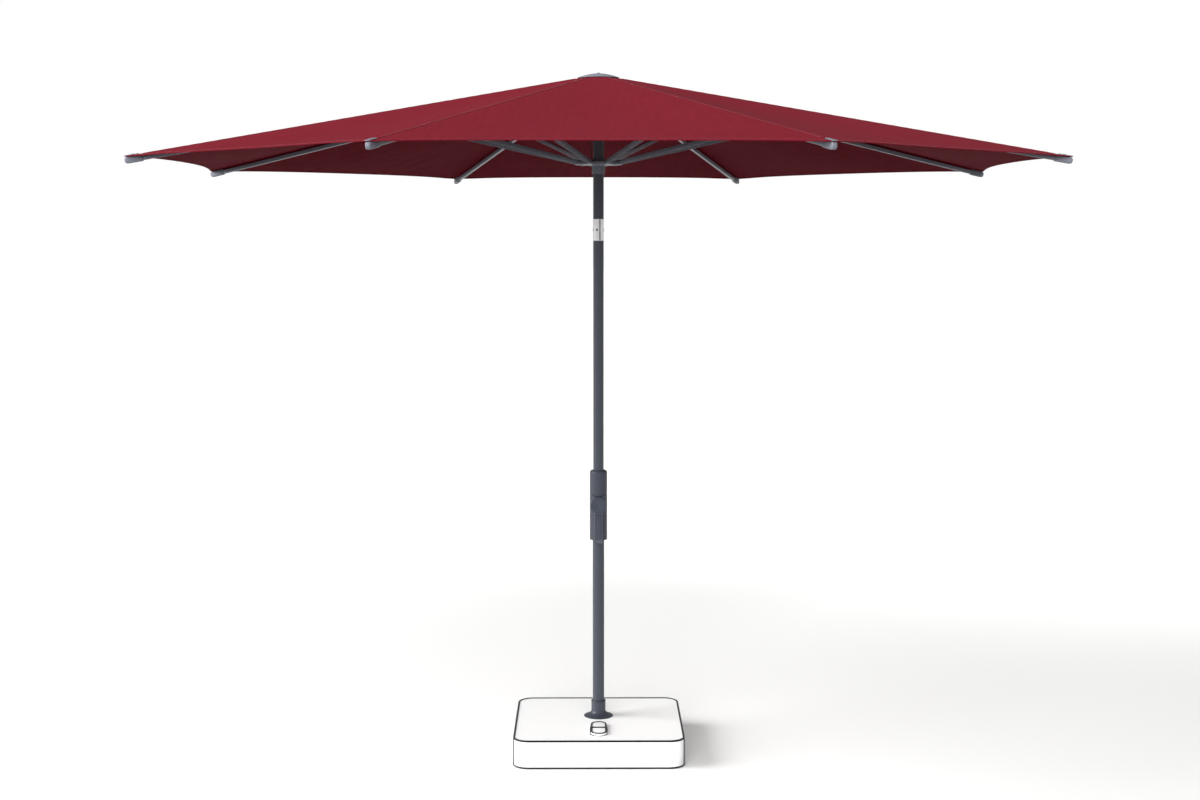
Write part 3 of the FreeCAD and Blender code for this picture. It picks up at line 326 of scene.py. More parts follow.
def finish(name, base, metallic=0.0, roughness=0.5, ior=1.45, coat=0.0, sheen=0.0, **more):
    """A new material with a principled surface. Returns its tree and the surface node."""
    material = bpy.data.materials.new(name)
    material.use_nodes = True
    tree = material.node_tree
    tree.nodes.clear()
    sockets = {"Base Color": linear(base), "Metallic": metallic, "Roughness": roughness, "IOR": ior,
               "Coat Weight": coat, "Sheen Weight": sheen, **more}
    skin = add(tree, "ShaderNodeBsdfPrincipled", sockets)
    add(tree, "ShaderNodeOutputMaterial", {"Surface": (skin, 0)})
    FINISH[name] = material
    return tree, skin


def vary(tree, skin, fac, colours, rough):
    """Lets a pattern move a surface's colour between two tones, and its roughness likewise."""
    tone = add(tree, "ShaderNodeMix", {0: fac, 6: linear(colours[0]), 7: linear(colours[1])},
               data_type="RGBA")
    tree.links.new(tone.outputs[2], skin.inputs["Base Color"])
    shine = add(tree, "ShaderNodeMapRange", {"Value": fac, "To Min": rough[0], "To Max": rough[1]})
    tree.links.new(shine.outputs[0], skin.inputs["Roughness"])


def emboss(tree, skin, height, depth, strength):
    """Raises a surface by a pattern of the given depth in metres."""
    relief = add(tree, "ShaderNodeBump", {"Height": height, "Distance": depth, "Strength": strength})
    tree.links.new(relief.outputs[0], skin.inputs["Normal"])


def place_of(tree):
    """Object coordinates, in metres."""
    return add(tree, "ShaderNodeTexCoord"), "Object"


def map_of(tree):
    """The piece's own UV map, in metres."""
    return add(tree, "ShaderNodeUVMap", uv_map="cloth"), 0


def changed(tree, where, **settings):
    """Coordinates with their own Scale or Rotation."""
    return add(tree, "ShaderNodeMapping", {"Vector": where, **settings}), 0


def noise(tree, where, scale, detail):
    """A cloud pattern, at one scale or at one for each axis."""
    if isinstance(scale, tuple):
        where, scale = changed(tree, where, Scale=scale), 1.0
    return add(tree, "ShaderNodeTexNoise", {"Vector": where, "Scale": scale, "Detail": detail}), "Fac"


def bands(tree, where, pitch, direction="X"):
    """Waves at a pitch in metres. A wave texture of scale s repeats every 0.314 / s."""
    return add(tree, "ShaderNodeTexWave", {"Vector": where, "Scale": 0.314 / pitch},
               bands_direction=direction), "Fac"


def combine(tree, operation, first, second):
    """The sum or product of two patterns, or the larger of the two."""
    return add(tree, "ShaderNodeMath", {0: first, 1: second}, operation=operation), 0


print("finish helpers ready")

# %% [markdown]
# ### Woven polyester
# The canopy is solution-dyed polyester in a plain weave. Its threads are 0.4 mm apart, too fine to
# show from across a terrace, so the weave is drawn at 1.6 mm, with the thicker slub threads that
# give such cloth its faint streaks at 14 mm. A soft sheen stands for the fibres' fuzz.

# %% Woven polyester
WEAVE = 1.6 * MM
SLUB = 14 * MM
SLUB_LENGTH = 220 * MM


def make_cloth(name, light, dark):
    """Two crossed thread waves for the weave, and two stretched noises for the slubs."""
    tree, skin = finish(name, light, roughness=0.85, sheen=0.01,
                        **{"Sheen Roughness": 0.5, "Specular IOR Level": 0.03})
    where = map_of(tree)
    weave = combine(tree, "MULTIPLY", *(bands(tree, where, WEAVE, axis) for axis in "XY"))
    slub = combine(tree, "ADD", noise(tree, where, (1 / SLUB, 1 / SLUB_LENGTH, 1), 3.0),
                   noise(tree, where, (1 / SLUB_LENGTH, 1 / SLUB, 1), 3.0))
    tone = add(tree, "ShaderNodeMapRange", {"Value": slub, "From Min": 0.5, "From Max": 1.5})
    vary(tree, skin, (tone, 0), (dark, light), (0.84, 0.72))
    emboss(tree, skin, combine(tree, "ADD", weave, slub), 0.35 * MM, 0.6)


make_cloth("woven_polyester", "741323", "69101F")
make_cloth("folded_polyester_hem", "6E1221", "640F1C")
print("cloth:", WEAVE / MM, "mm weave")

# %% [markdown]
# ### Polyester thread, braided cord
# Sewing thread is smooth and shiny. The lift cord is a 3 mm braid: its strands cross in a diamond
# pattern whose pitch is about three times its width.

# %% Thread and cord
def make_thread():
    """Smooth thread with a faint twist."""
    tree, skin = finish("polyester_thread", "802635", roughness=0.45, sheen=0.3)
    twist = bands(tree, place_of(tree), 1.5 * MM, "DIAGONAL")
    vary(tree, skin, twist, ("681A26", "7C2735"), (0.5, 0.4))


def make_braid():
    """Two diagonal waves on the cord's own map, one each way, make the diamonds of a braid."""
    tree, skin = finish("braided_polyester_cord", "46484E", roughness=0.7, sheen=0.2)
    where = map_of(tree)
    turned = [changed(tree, where, Rotation=(0, 0, math.radians(lean))) for lean in (45, -45)]
    strands = combine(tree, "MAXIMUM", *(bands(tree, spot, 2.4 * MM) for spot in turned))
    vary(tree, skin, strands, ("2F3136", "5A5D64"), (0.8, 0.62))
    emboss(tree, skin, strands, 0.4 * MM, 0.7)


make_thread()
make_braid()
print("thread and cord ready")

# %% [markdown]
# ### Powder-coated tube and frame
# Mast, ribs and struts are aluminium and steel with a baked polyester powder coat. The powder
# melts into a skin with slight orange peel, about 2 mm across, and its tone changes slowly.

# %% Powder coat
PEEL = 2.0 * MM


def make_coat(name, colour, pale):
    """Orange peel from a fine noise, a slow change of tone, and a thin clear gloss."""
    tree, skin = finish(name, colour, roughness=0.42, ior=1.5, coat=0.12, **{"Coat Roughness": 0.25})
    spot = place_of(tree)
    vary(tree, skin, noise(tree, spot, 9.0, 4.0), (colour, pale), (0.36, 0.5))
    emboss(tree, skin, noise(tree, spot, 1 / PEEL, 2.0), 0.12 * MM, 0.35)


make_coat("powder_coated_aluminium", "2F333C", "363A44")
make_coat("powder_coated_steel", "7F828D", "8A8D98")
print("powder coats ready")

# %% [markdown]
# ### Moulded plastics
# The crank housing and the fittings are glass-filled nylon with the fine grain of a sparked
# mould. The base cover is white polyethylene, whose surface is waxy and slightly uneven. The
# beads at its edges are black vinyl.

# %% Moulded plastics
def make_plastic(name, colour, other, grain, depth, rough, ior=1.5):
    """Mould grain at its real size over a slow change of tone."""
    tree, skin = finish(name, colour, roughness=sum(rough) / 2, ior=ior)
    spot = place_of(tree)
    vary(tree, skin, noise(tree, spot, 6.0, 3.0), (colour, other), rough)
    mould = add(tree, "ShaderNodeTexVoronoi", {"Vector": spot, "Scale": 1 / grain}, feature="SMOOTH_F1")
    emboss(tree, skin, (mould, "Distance"), depth, 0.4)


make_plastic("moulded_nylon_housing", "31353E", "373B45", 0.9 * MM, 0.08 * MM, (0.42, 0.56))
make_plastic("moulded_nylon_arm", "4A4E58", "50545F", 0.9 * MM, 0.08 * MM, (0.4, 0.52))
make_plastic("moulded_nylon_fittings", "6C6E78", "777983", 0.9 * MM, 0.08 * MM, (0.44, 0.58))
make_plastic("moulded_polyethylene_cover", "FFFFFE", "FEFEFD", 1.6 * MM, 0.06 * MM, (0.34, 0.48), 1.54)
make_plastic("extruded_vinyl_bead", "0A0A0B", "101012", 1.2 * MM, 0.05 * MM, (0.38, 0.5), 1.52)
make_plastic("moulded_acetal_bush", "D9D8D2", "CFCEC8", 1.5 * MM, 0.03 * MM, (0.3, 0.38), 1.48)
print("plastics ready")

# %% [markdown]
# ### Bare metal and stone
# The tilting knuckle is polished die-cast aluminium. Pins and the brake rod are zinc-plated
# steel, and the tray is bare steel with mill marks. The ballast is granite chips cast in cement.

# %% Bare metal
def make_metal(name, colour, other, rough, stretch, depth):
    """Polishing marks: a noise stretched along one axis."""
    tree, skin = finish(name, colour, metallic=1.0, roughness=sum(rough) / 2, ior=1.5)
    marks = noise(tree, place_of(tree), stretch, 4.0)
    vary(tree, skin, marks, (colour, other), rough)
    emboss(tree, skin, marks, depth, 0.2)


make_metal("polished_cast_aluminium", "F2F1F2", "E4E3E5", (0.3, 0.4), (700, 700, 90), 0.04 * MM)
make_metal("zinc_plated_steel", "C4C6CA", "B2B5BA", (0.3, 0.42), (500, 500, 500), 0.03 * MM)
make_metal("mill_finish_steel", "9A9C9F", "85878B", (0.35, 0.5), (60, 900, 900), 0.05 * MM)
print("metals ready")

# %% Cast granite
CHIP, CEMENT = 7 * MM, 1.5 * MM


def make_stone():
    """Chips of many tones from a cell pattern, under fine cement grain."""
    tree, skin = finish("cast_granite_ballast", "8E8D8A", roughness=0.8)
    spot = place_of(tree)
    chips = add(tree, "ShaderNodeTexVoronoi", {"Vector": spot, "Scale": 1 / CHIP})
    tone = add(tree, "ShaderNodeSeparateColor", {0: (chips, "Color")})
    vary(tree, skin, (tone, 0), ("6F6E6B", "ABA9A4"), (0.7, 0.9))
    emboss(tree, skin, noise(tree, spot, 1 / CEMENT, 3.0), 0.3 * MM, 0.6)


make_stone()
print(len(FINISH), "finishes")

# %% [markdown]
# ## Finishes on the frame's own parts
# Parts whose shape needs nothing more keep their meshes and only take a finish.

# %% Finish the frame's parts
SLOT_FINISH = {
    "granite": "cast_granite_ballast", "white_cover": "moulded_polyethylene_cover",
    "black_bead": "extruded_vinyl_bead", "steel": "mill_finish_steel",
    "zinc_steel": "zinc_plated_steel", "bush_plastic": "moulded_acetal_bush",
    "mast_grey": "powder_coated_aluminium", "housing_grey": "moulded_nylon_housing",
    "bright_alloy": "polished_cast_aluminium", "frame_grey": "powder_coated_steel",
    "fitting_grey": "moulded_nylon_fittings", "red_fabric": "woven_polyester",
    "cord_braid": "braided_polyester_cord",
}
node_slots = {part["node"]: part["material_slot"] for part in frame["record"]["subparts"]}
for node_name, node in frame["nodes"].items():
    wanted = FINISH[SLOT_FINISH[node_slots[node_name]]]
    if not node.material_slots:
        node.data.materials.append(wanted)
    for held in node.material_slots:
        held.material = wanted
print("finished", len(frame["nodes"]), "parts")

# %% [markdown]
# ## The canopy
# Eight gores are cut from cloth and joined by felled seams that lie on the ribs. The cloth is
# stretched from rib to rib, so it is straight along a rib and dips a little between two of them,
# and its hem curves in. It could be made by a cloth simulation, but stretched cloth is nearly a
# ruled surface, and a formula keeps it tight. Each panel here is the cloth of one rib, half of a
# gore on each side, because that is what moves together when the ribs fold.

# %% Canopy measures
RIBS = 8
_, canopy_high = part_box("canopy")
SLOPE = math.radians(10.9)
PIVOT_RADIUS, PIVOT_HEIGHT = 0.058, 2.411
RIB_HALF_DEPTH, FABRIC_LIFT, FABRIC = 0.010, 0.0014, 0.0010
CANOPY_RADIUS = canopy_high.x / math.cos(math.pi / RIBS)
CANOPY_HOLE = 0.072
HEM_BOW = 0.060
DIP, HEM_DIP = 0.016, 0.006
print("canopy:", round(CANOPY_RADIUS, 4), "m from the mast to a corner")


def ridge_height(radius, lift=0.0):
    """Height of the cloth's middle above a rib's centre line."""
    top = RIB_HALF_DEPTH / math.cos(SLOPE) + FABRIC_LIFT + FABRIC / 2
    return PIVOT_HEIGHT - (radius - PIVOT_RADIUS) * math.tan(SLOPE) + top + lift


def rib_azimuth(number):
    """Direction of a rib from +X. Rib 1 is half a gore round."""
    return math.pi / RIBS * (2 * number - 1)


def cloth_points(number, across, along, lift=0.0):
    """Points of the cloth around a rib. across runs from -1 to 1, from one gore's centre line over
    the rib to the other's; along runs from 0 at the crown to 1 at the hem.

    Half of |across| is the share s of the way from this rib's ridge to the next rib's. The point
    is the line between the two ridges at that share, at the radius r0 + (r1 - r0) along, where
    r1 is drawn in by b = 4 s (1-s) of the hem's bow. It then dips by b squared times a curve that
    is highest at two thirds of the way out, and puckers a little beside the rib and near the tip."""
    share = np.abs(across) / 2
    bow = 4 * share * (1 - share)
    in_plane = math.hypot(math.cos(math.pi / RIBS), math.tan(SLOPE))
    far = CANOPY_RADIUS - HEM_BOW / in_plane * bow
    radius = CANOPY_HOLE + (far - CANOPY_HOLE) * along
    here = rib_azimuth(number)
    there = here + np.sign(across) * 2 * math.pi / RIBS
    x = radius * ((1 - share) * np.cos(here) + share * np.cos(there))
    y = radius * ((1 - share) * np.sin(here) + share * np.sin(there))
    dip = bow ** 2 * (DIP * np.sin(np.pi * along ** 1.4) + HEM_DIP * along ** 3)
    pucker = 0.0006 * np.sin(radius * 2 * np.pi / 0.045) * np.exp(-((share - 0.05) / 0.04) ** 2)
    fold = 0.0012 * np.sin(share * 2 * np.pi / 0.09) * np.exp(-((along - 0.8) / 0.12) ** 2) * bow
    z = ridge_height(radius, lift) - dip - pucker * np.minimum(along * 4, 1) - fold
    return np.stack([x, y, z], -1)


# %% [markdown]
# ### Folding cloth
# When the ribs come together, the same ring of cloth has less and less width per rib the further
# out it lies. So a rib's cloth is made as seven rings, and for each ring the share of its width is
# worked out that would leave it about as wide as the gap between two closed ribs.

# %% Panels
ACROSS_STEPS = 20
RING_EDGES = np.array([CANOPY_HOLE, 0.12, 0.19, 0.30, 0.48, 0.76, 1.15, CANOPY_RADIUS])
CLOSED_RADIUS, CLOSED_SPREAD, LOOSE = PIVOT_RADIUS, 0.036, 1.05


def make_rings():
    """Start, end, keep and steps of each ring. Its middle is at the radius d = sqrt(r0 r1), where
    half a gore is d sin(pi / 8) wide. Closed, it has tan(pi / 8) (a + b d) to fill."""
    share = (RING_EDGES - CANOPY_HOLE) / (CANOPY_RADIUS - CANOPY_HOLE)
    middle = np.sqrt(RING_EDGES[:-1] * RING_EDGES[1:])
    gap = math.tan(math.pi / RIBS) * (CLOSED_RADIUS + CLOSED_SPREAD * middle) * LOOSE
    keep = gap / (middle * math.sin(math.pi / RIBS))
    steps = np.maximum(4, np.round(np.diff(share) * 92)).astype(int)
    return list(zip(share[:-1].tolist(), share[1:].tolist(), keep.tolist(), steps.tolist()))


RINGS = make_rings()
print("kept widths:", [round(ring[2], 3) for ring in RINGS])


def cloth_map(mesh, number):
    """Lays the UV map in metres: v runs out along the gore's centre line and u across it, so the
    warp is square to the middle of the hem, and changes direction at the seam on the rib."""
    here = rib_azimuth(number)
    middles = read(mesh.polygons, "center", 3)[:, :2]
    side = np.sign(middles @ np.array([-math.sin(here), math.cos(here)]))
    corners = read(mesh.polygons, "loop_total", 1, np.int64)[:, 0]
    centre = np.repeat(here + side * math.pi / RIBS, corners)
    lay_map(mesh, lambda p: (p[:, 1] * np.cos(centre) - p[:, 0] * np.sin(centre),
                             (p[:, 0] * np.cos(centre) + p[:, 1] * np.sin(centre)) / math.cos(SLOPE)))


def fold_with_rib(made, number):
    """Rides on the rib, with a mesh of its own."""
    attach(made, f"rib_{number}")
    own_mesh(made)


def make_panel(number, ring):
    """A ring of one rib's cloth: its upper and lower faces from the formula, joined at the rim."""
    start, end, _, steps = RINGS[ring]
    across, along = np.meshgrid(np.linspace(-1, 1, 2 * ACROSS_STEPS + 1),
                                np.linspace(start, end, steps + 1))
    top, bottom = (cloth_points(number, across, along, side * FABRIC * 0.45) for side in (1, -1))
    grids = spun(np.concatenate([top, bottom[:, ::-1]], 1))
    grids += [(np.stack([top[row], bottom[row]]), False, False, False) for row in (0, -1)]
    made = piece(f"canopy_panel_{number}_{ring + 1}", grids, "woven_polyester")
    cloth_map(made.data, number)
    return made


panels = [[make_panel(i + 1, ring) for ring in range(len(RINGS))] for i in range(RIBS)]
print("panels:", len(panels), "of", sum(len(ring.data.polygons) for ring in panels[0]), "faces")

# %% [markdown]
# ### Seams, hems and stitches
# A seam is covered by a flat tape, 14 mm wide, held by two rows of stitches. The tape's edges turn
# down beside the rib and make the pocket that it lies in, so the tape stays with the rib. The hem
# is the edge turned over twice, 22 mm wide, with one row. A stitch is a short raised thread. Here
# one is 6 mm long, every 9 mm, so that a row can be made out from a step away.

# %% Seams and hems
SEAM_HALF, HEM_WIDTH, FOLD, LEG = 0.0070, 0.022, 0.0008, 0.0080
TAPE_START, TAPE_END = 0.012, 0.962
STITCH, STITCH_GAP, THREAD = 0.0062, 0.0028, 0.00055
TAPE_ROW, HEM_ROW = 0.0045, 0.0185


def spread_across(metres, along):
    """The value of across that lies the given distance from the rib's line."""
    radius = CANOPY_HOLE + (CANOPY_RADIUS - CANOPY_HOLE) * along
    return np.clip(metres / (radius * math.sin(2 * math.pi / RIBS)) * 2, -1, 1)


def from_hem(across, metres):
    """The value of along that lies the given distance in from the curved hem."""
    share = np.abs(across) / 2
    return 1 - metres / (CANOPY_RADIUS - CANOPY_HOLE - HEM_BOW * 4 * share * (1 - share))


def seam_tape(number):
    """A tape over the ridge: an arch whose height is that of a flat bump, 1 - |x|^6, and whose
    two legs go down beside the rib, carried along it."""
    along = np.linspace(TAPE_START, TAPE_END, 120)[:, None]
    x = np.linspace(-1, 1, 13)
    outer = np.column_stack([x * SEAM_HALF, FABRIC / 2 + FOLD * (1 - np.abs(x) ** 6)])
    legs = np.array([(SEAM_HALF + 0.0002, -0.0010), (SEAM_HALF + 0.0001, -LEG),
                     (SEAM_HALF - 0.0006, -LEG), (SEAM_HALF - 0.0006, -0.0007)])
    section = np.vstack([outer, legs, legs[::-1] * (-1, 1)])
    wide, lift = (column[None, :] + 0 * along for column in section.T)
    here = rib_azimuth(number)
    centre = cloth_points(number, 0 * wide, along + 0 * wide, lift)
    return centre + wide[..., None] * np.array([-math.sin(here), math.cos(here), 0.0])


def hem_strip(number, side):
    """The turned-over edge: a flat loop round the cloth's rim, carried along the curved hem."""
    across = side * np.linspace(0.012, 1.0, 70)[:, None]
    turn = np.linspace(0, 2 * np.pi, 16, endpoint=False)[None, :]
    flat, rise = (np.sign(v) * np.abs(v) ** 0.35 for v in (np.cos(turn), np.sin(turn)))
    along = from_hem(across, HEM_WIDTH * (1 - flat) / 2 - 0.0006)
    return cloth_points(number, across + 0 * turn, along, (FABRIC / 2 + FOLD) * rise + 0 * across)


def make_trim(name, number, strips):
    """Strips of folded cloth as one piece."""
    made = piece(f"canopy_{name}_{number}", capped(*strips), "folded_polyester_hem")
    cloth_map(made.data, number)
    return made


tapes = [make_trim("tape", i + 1, [seam_tape(i + 1)]) for i in range(RIBS)]
hems = [make_trim("hem", i + 1, [hem_strip(i + 1, side) for side in (1, -1)]) for i in range(RIBS)]
print("tape and hem faces:", len(tapes[0].data.polygons), len(hems[0].data.polygons))

# %% Stitches
def stitch_grids(starts, ends, ups):
    """Stitches between pairs of points: half-round bars whose height is sin(pi q) along their
    length. Every stitch has the same few faces, so all are worked out as one array."""
    q = np.array([0.0, 0.22, 0.5, 0.78, 1.0])
    turn = np.linspace(0, 2 * np.pi, 5, endpoint=False)
    run = ends - starts
    side = np.cross(run, ups)
    side /= np.linalg.norm(side, axis=1, keepdims=True)
    swell = np.sqrt(np.sin(np.pi * np.clip(q, 0.02, 0.98)))
    line = starts[:, None] + run[:, None] * q[None, :, None]
    ring = (side[:, None, None] * np.cos(turn)[None, None, :, None] +
            ups[:, None, None] * np.sin(turn)[None, None, :, None])
    return line[:, :, None] + ring * (THREAD * swell)[None, :, None, None]


def bars(name, array):
    """One object of many small closed bars of the same shape."""
    count, rows, columns = array.shape[:3]
    first = (np.arange(count) * rows * columns)[:, None, None]
    sides = (grid_faces(rows, columns, False, True, 0)[None] + first).reshape(-1, 4)
    ends = np.stack([np.arange(columns)[::-1], np.arange(columns) + (rows - 1) * columns])
    caps = (ends[None] + first).reshape(-1, columns)
    faces = sides.tolist() + caps.tolist()
    return build(name, array.reshape(-1, 3), faces, "polyester_thread", weld=False)


def stitch_row(path):
    """Starts and ends of stitches spaced evenly along a fine path of points."""
    length, at = walk(path)
    begin = np.arange(0.004, length - STITCH - 0.004, STITCH + STITCH_GAP)
    return at(begin), at(begin + STITCH)


def make_stitches(number):
    """Two rows on the tape beside the ridge, and one row along each half of the hem."""
    along = np.linspace(TAPE_START + 0.005, TAPE_END - 0.004, 400)
    across = np.linspace(0.02, 1.0, 300)
    lines = {"tape": [(spread_across(wide, along), along) for wide in (-TAPE_ROW, TAPE_ROW)],
             "hem": [(side * across, from_hem(across, HEM_ROW)) for side in (1, -1)]}
    made = []
    for where, pair in lines.items():
        rows = [stitch_row(cloth_points(number, *line, FABRIC / 2 + FOLD + THREAD * 0.35)) for line in pair]
        starts, ends = (np.vstack([row[k] for row in rows]) for k in (0, 1))
        ups = np.broadcast_to(np.array([0.0, 0.0, 1.0]), starts.shape)
        made.append(bars(f"canopy_{where}_stitches_{number}", stitch_grids(starts, ends, ups)))
    return made


stitches = [make_stitches(i + 1) for i in range(RIBS)]
print("stitches:", sum(len(s.data.polygons) for pair in stitches for s in pair), "faces")

def ring_size(ring):
    """A ring's flat width at its outer edge, its length down the middle, and its area."""
    inner, outer = (CANOPY_HOLE + (CANOPY_RADIUS - CANOPY_HOLE) * share for share in RINGS[ring][:2])
    width = 2 * outer * math.sin(math.pi / RIBS)
    length = (outer - inner) * math.hypot(math.cos(math.pi / RIBS), math.tan(SLOPE))
    bow = HEM_BOW * width * 2 / 3 if ring == len(RINGS) - 1 else 0.0
    return round(width, 3), round(length, 3), round((width + width * inner / outer) / 2 * length - bow, 4)


for number, (rings, tape, hem, threads) in enumerate(zip(panels, tapes, hems, stitches), 1):
    for made in (tape, threads[0]):
        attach(made, f"rib_{number}")
    for made in (hem, threads[1]):
        fold_with_rib(made, number)
    for ring, made in enumerate(rings):
        fold_with_rib(made, number)
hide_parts("canopy")
print("rings of a gore, m and square metres:", [ring_size(ring) for ring in range(len(RINGS))])

# %% [markdown]
# ## Ribs, struts and their fittings
# A rib is a drawn aluminium tube, 12 by 20 mm, with rounded corners. At its root a moulded eye
# turns on the crown's pin, part of the way out a saddle carries the strut, and at its tip a
# moulded pocket holds the cloth's corner under a riveted jaw. A strut is a pressed channel that
# is open below. Sections carried along straight lines are enough for all of them.

# %% Sections and pads
def put(points, origin, along, across, up):
    """Turns local (x, y, z) into place: origin + x along + y across + z up."""
    axes = np.stack([along, across, up]).astype(float)
    return np.asarray(points, float) @ axes + np.asarray(origin, float)


def beam(section, x, wide=1.0, deep=1.0, rise=0.0):
    """A section of (y, z) carried along x. wide and deep scale it at each x, and rise lifts it."""
    x = np.asarray(x, float)
    wide, deep, rise = (np.broadcast_to(v, x.shape)[:, None] for v in (wide, deep, rise))
    y, z = section[:, 0][None, :] * wide, section[:, 1][None, :] * deep + rise
    return np.stack([x[:, None] + 0 * y, y, z], -1)


def pad(outline, low, high, edge, order=(0, 1, 2)):
    """A plate from low to high whose outline(inset) draws in by edge (1 - cos q) at height
    edge (1 - sin q) from each face, which rounds its rims by a quarter circle."""
    q = np.linspace(0, np.pi / 2, 5)
    inset = edge * (1 - np.sin(q))
    height = edge * (1 - np.cos(q))
    rows = [(i, low + h) for i, h in zip(inset, height)]
    rows += [(i, high - h) for i, h in zip(inset[::-1], height[::-1])]
    layers = [np.column_stack([outline(i), np.full(len(outline(i)), z)]) for i, z in rows]
    return np.stack(layers)[..., list(order)]


def block(width, depth, corner, count):
    """An outline for a pad: a rounded rectangle that draws in by inset."""
    return lambda i: rounded_box(width - 2 * i, depth - 2 * i, corner - i, count)


def disc_pad(radius, low, high, edge, turns=40, order=(0, 1, 2)):
    """A round plate with rounded rims."""
    a = np.linspace(0, 2 * np.pi, turns, endpoint=False)
    return pad(lambda i: (radius - i) * np.stack([np.cos(a), np.sin(a)], 1), low, high, edge, order)


def moved(points, *offset):
    """Shifts points."""
    return points + np.asarray(offset, float)


RIB_REACH, RIB_WIDTH, RIB_DEPTH = 1.62125, 0.012, 0.020
STRUT_STATION, STRUT_OFFSET = 0.674163, 0.020
STRUT_LENGTH, STRUT_SLOPE = 0.665624, math.radians(12.3512)
RUNNER_RING, RUNNER_HEIGHT = 0.066, 2.1215
RIB_PLACE = PIVOT_RADIUS, PIVOT_HEIGHT, -SLOPE
STRUT_PLACE = RUNNER_RING, RUNNER_HEIGHT, STRUT_SLOPE
EDGE_ON = (0, 2, 1)


def arm_parts(number, parts, radius, height, slope):
    """Parts of an arm, put at its inner pin and turned out and up by its slope, as capped grids."""
    here = rib_azimuth(number)
    out, across, up = (np.array(v) for v in ((math.cos(here), math.sin(here), 0),
                                             (-math.sin(here), math.cos(here), 0), (0, 0, 1.0)))
    along = out * math.cos(slope) + up * math.sin(slope)
    square = up * math.cos(slope) - out * math.sin(slope)
    origin = out * radius + up * height
    return capped(*(put(part, origin, along, across, square) for part in parts))


# %% Rib tubes
def make_rib(number):
    """The tube, from its root plug to inside its tip pocket."""
    section = rounded_box(RIB_WIDTH, RIB_DEPTH, 0.0026, 6)
    local = beam(section, np.linspace(0.0153, RIB_REACH - 0.0213, 24))
    return piece(f"rib_tube_{number}", arm_parts(number, [local], *RIB_PLACE),
                 "powder_coated_steel", f"rib_{number}", [f"rib_{number}"])


ribs = [make_rib(i + 1) for i in range(RIBS)]
print("ribs:", len(ribs))

# %% Rib fittings
def stadium(half_length, half_height):
    """An outline with round ends in x and z, which draws in by inset."""
    return lambda i: rounded_box(2 * (half_length + half_height - i), 2 * (half_height - i),
                                 (half_height - i) * 0.999, 10)


def tip_pocket():
    """The pocket's section, 17 by 25 mm, carried to a nose that closes as (1 - u^2.4)^(1/2.4)."""
    u = np.linspace(0, 1, 15)
    nose = np.maximum(1 - u ** 2.4, 0.0) ** (1 / 2.4)
    x = RIB_REACH + np.concatenate([[-0.0590, -0.0584, -0.0570], np.linspace(-0.050, -0.016, 6),
                                    -0.0150 + 0.0142 * u])
    mouth = [0.90, 0.97, 1.0]
    deep, wide = (np.concatenate([mouth, np.ones(6), tip + (1 - tip) * nose]) for tip in (0.10, 0.45))
    section = rounded_box(RIB_WIDTH + 0.005, RIB_DEPTH + 0.0028, 0.0045, 8)
    return beam(section, x, wide, deep, -0.0011)


def make_fittings(number):
    """Root eye and plug, saddle with its pin, tip pocket with its jaw and rivet."""
    half, up = RIB_WIDTH / 2, RIB_DEPTH / 2
    root = moved(pad(stadium(0.0075, 0.008), -half, half, 0.0008, EDGE_ON), 0.0075, 0, 0)
    cheeks = [moved(pad(stadium(0.0030, 0.0155), y, y + 0.002, 0.0005, EDGE_ON),
                    STRUT_STATION, 0, -0.0105) for y in (half, -half - 0.002)]
    discs = [(0.0025, -half - 0.004, half + 0.004, 0.0006, 20)]
    discs += [(0.0042, y, y + 0.0018, 0.0008, 24) for y in (-half - 0.0042, half + 0.0024)]
    pins = [moved(disc_pad(*disc, EDGE_ON), STRUT_STATION, 0, -STRUT_OFFSET) for disc in discs]
    over = up + FABRIC_LIFT + FABRIC + 0.0004
    jaw = moved(pad(block(0.048, 0.017, 0.0050, 8), over, over + 0.0022, 0.0007), RIB_REACH - 0.0255, 0, 0)
    discs = [(0.0042, over + 0.0020, over + 0.0034, 0.0010, 24),
             (0.0025, up - 0.0005, over + 0.0005, 0.0002, 20)]
    rivets = [moved(disc_pad(*disc), RIB_REACH - 0.030, 0, 0) for disc in discs]
    parts = [root, *cheeks, *pins, tip_pocket(), jaw, *rivets]
    return piece(f"rib_fitting_set_{number}", arm_parts(number, parts, *RIB_PLACE),
                 "moulded_nylon_fittings", f"rib_{number}", [f"rib_fittings_{number}"])


fittings = [make_fittings(i + 1) for i in range(RIBS)]
print("rib fittings:", len(fittings), "of", len(fittings[0].data.polygons), "faces")

# %% Struts
def make_strut(number):
    """A channel 11 by 16 mm of 1.5 mm sheet, open below, between two solid round ends."""
    w, h, t = 0.0055, 0.008, 0.0015
    channel = [(-w, -h), (-w, h), (w, h), (w, -h), (w - t, -h), (w - t, h - t), (t - w, h - t), (t - w, -h)]
    round_by = [0.0004, 0.0018, 0.0018, 0.0004, 0.0004, 0.0006, 0.0006, 0.0004]
    bar = beam(soften(channel, round_by), np.linspace(0.0120, STRUT_LENGTH - 0.0120, 16))
    end = pad(stadium(0.0060, h), -w, w, 0.0006, EDGE_ON)
    ends = [moved(end, x, 0, 0) for x in (0.0060, STRUT_LENGTH - 0.0060)]
    pin = disc_pad(0.0022, -w - 0.004, w + 0.004, 0.0005, 20, EDGE_ON)
    return piece(f"strut_channel_{number}", arm_parts(number, [bar, *ends, pin], *STRUT_PLACE),
                 "powder_coated_steel", f"strut_{number}", [f"strut_{number}"])


struts = [make_strut(i + 1) for i in range(RIBS)]
print("struts:", len(struts), "of", len(struts[0].data.polygons), "faces")
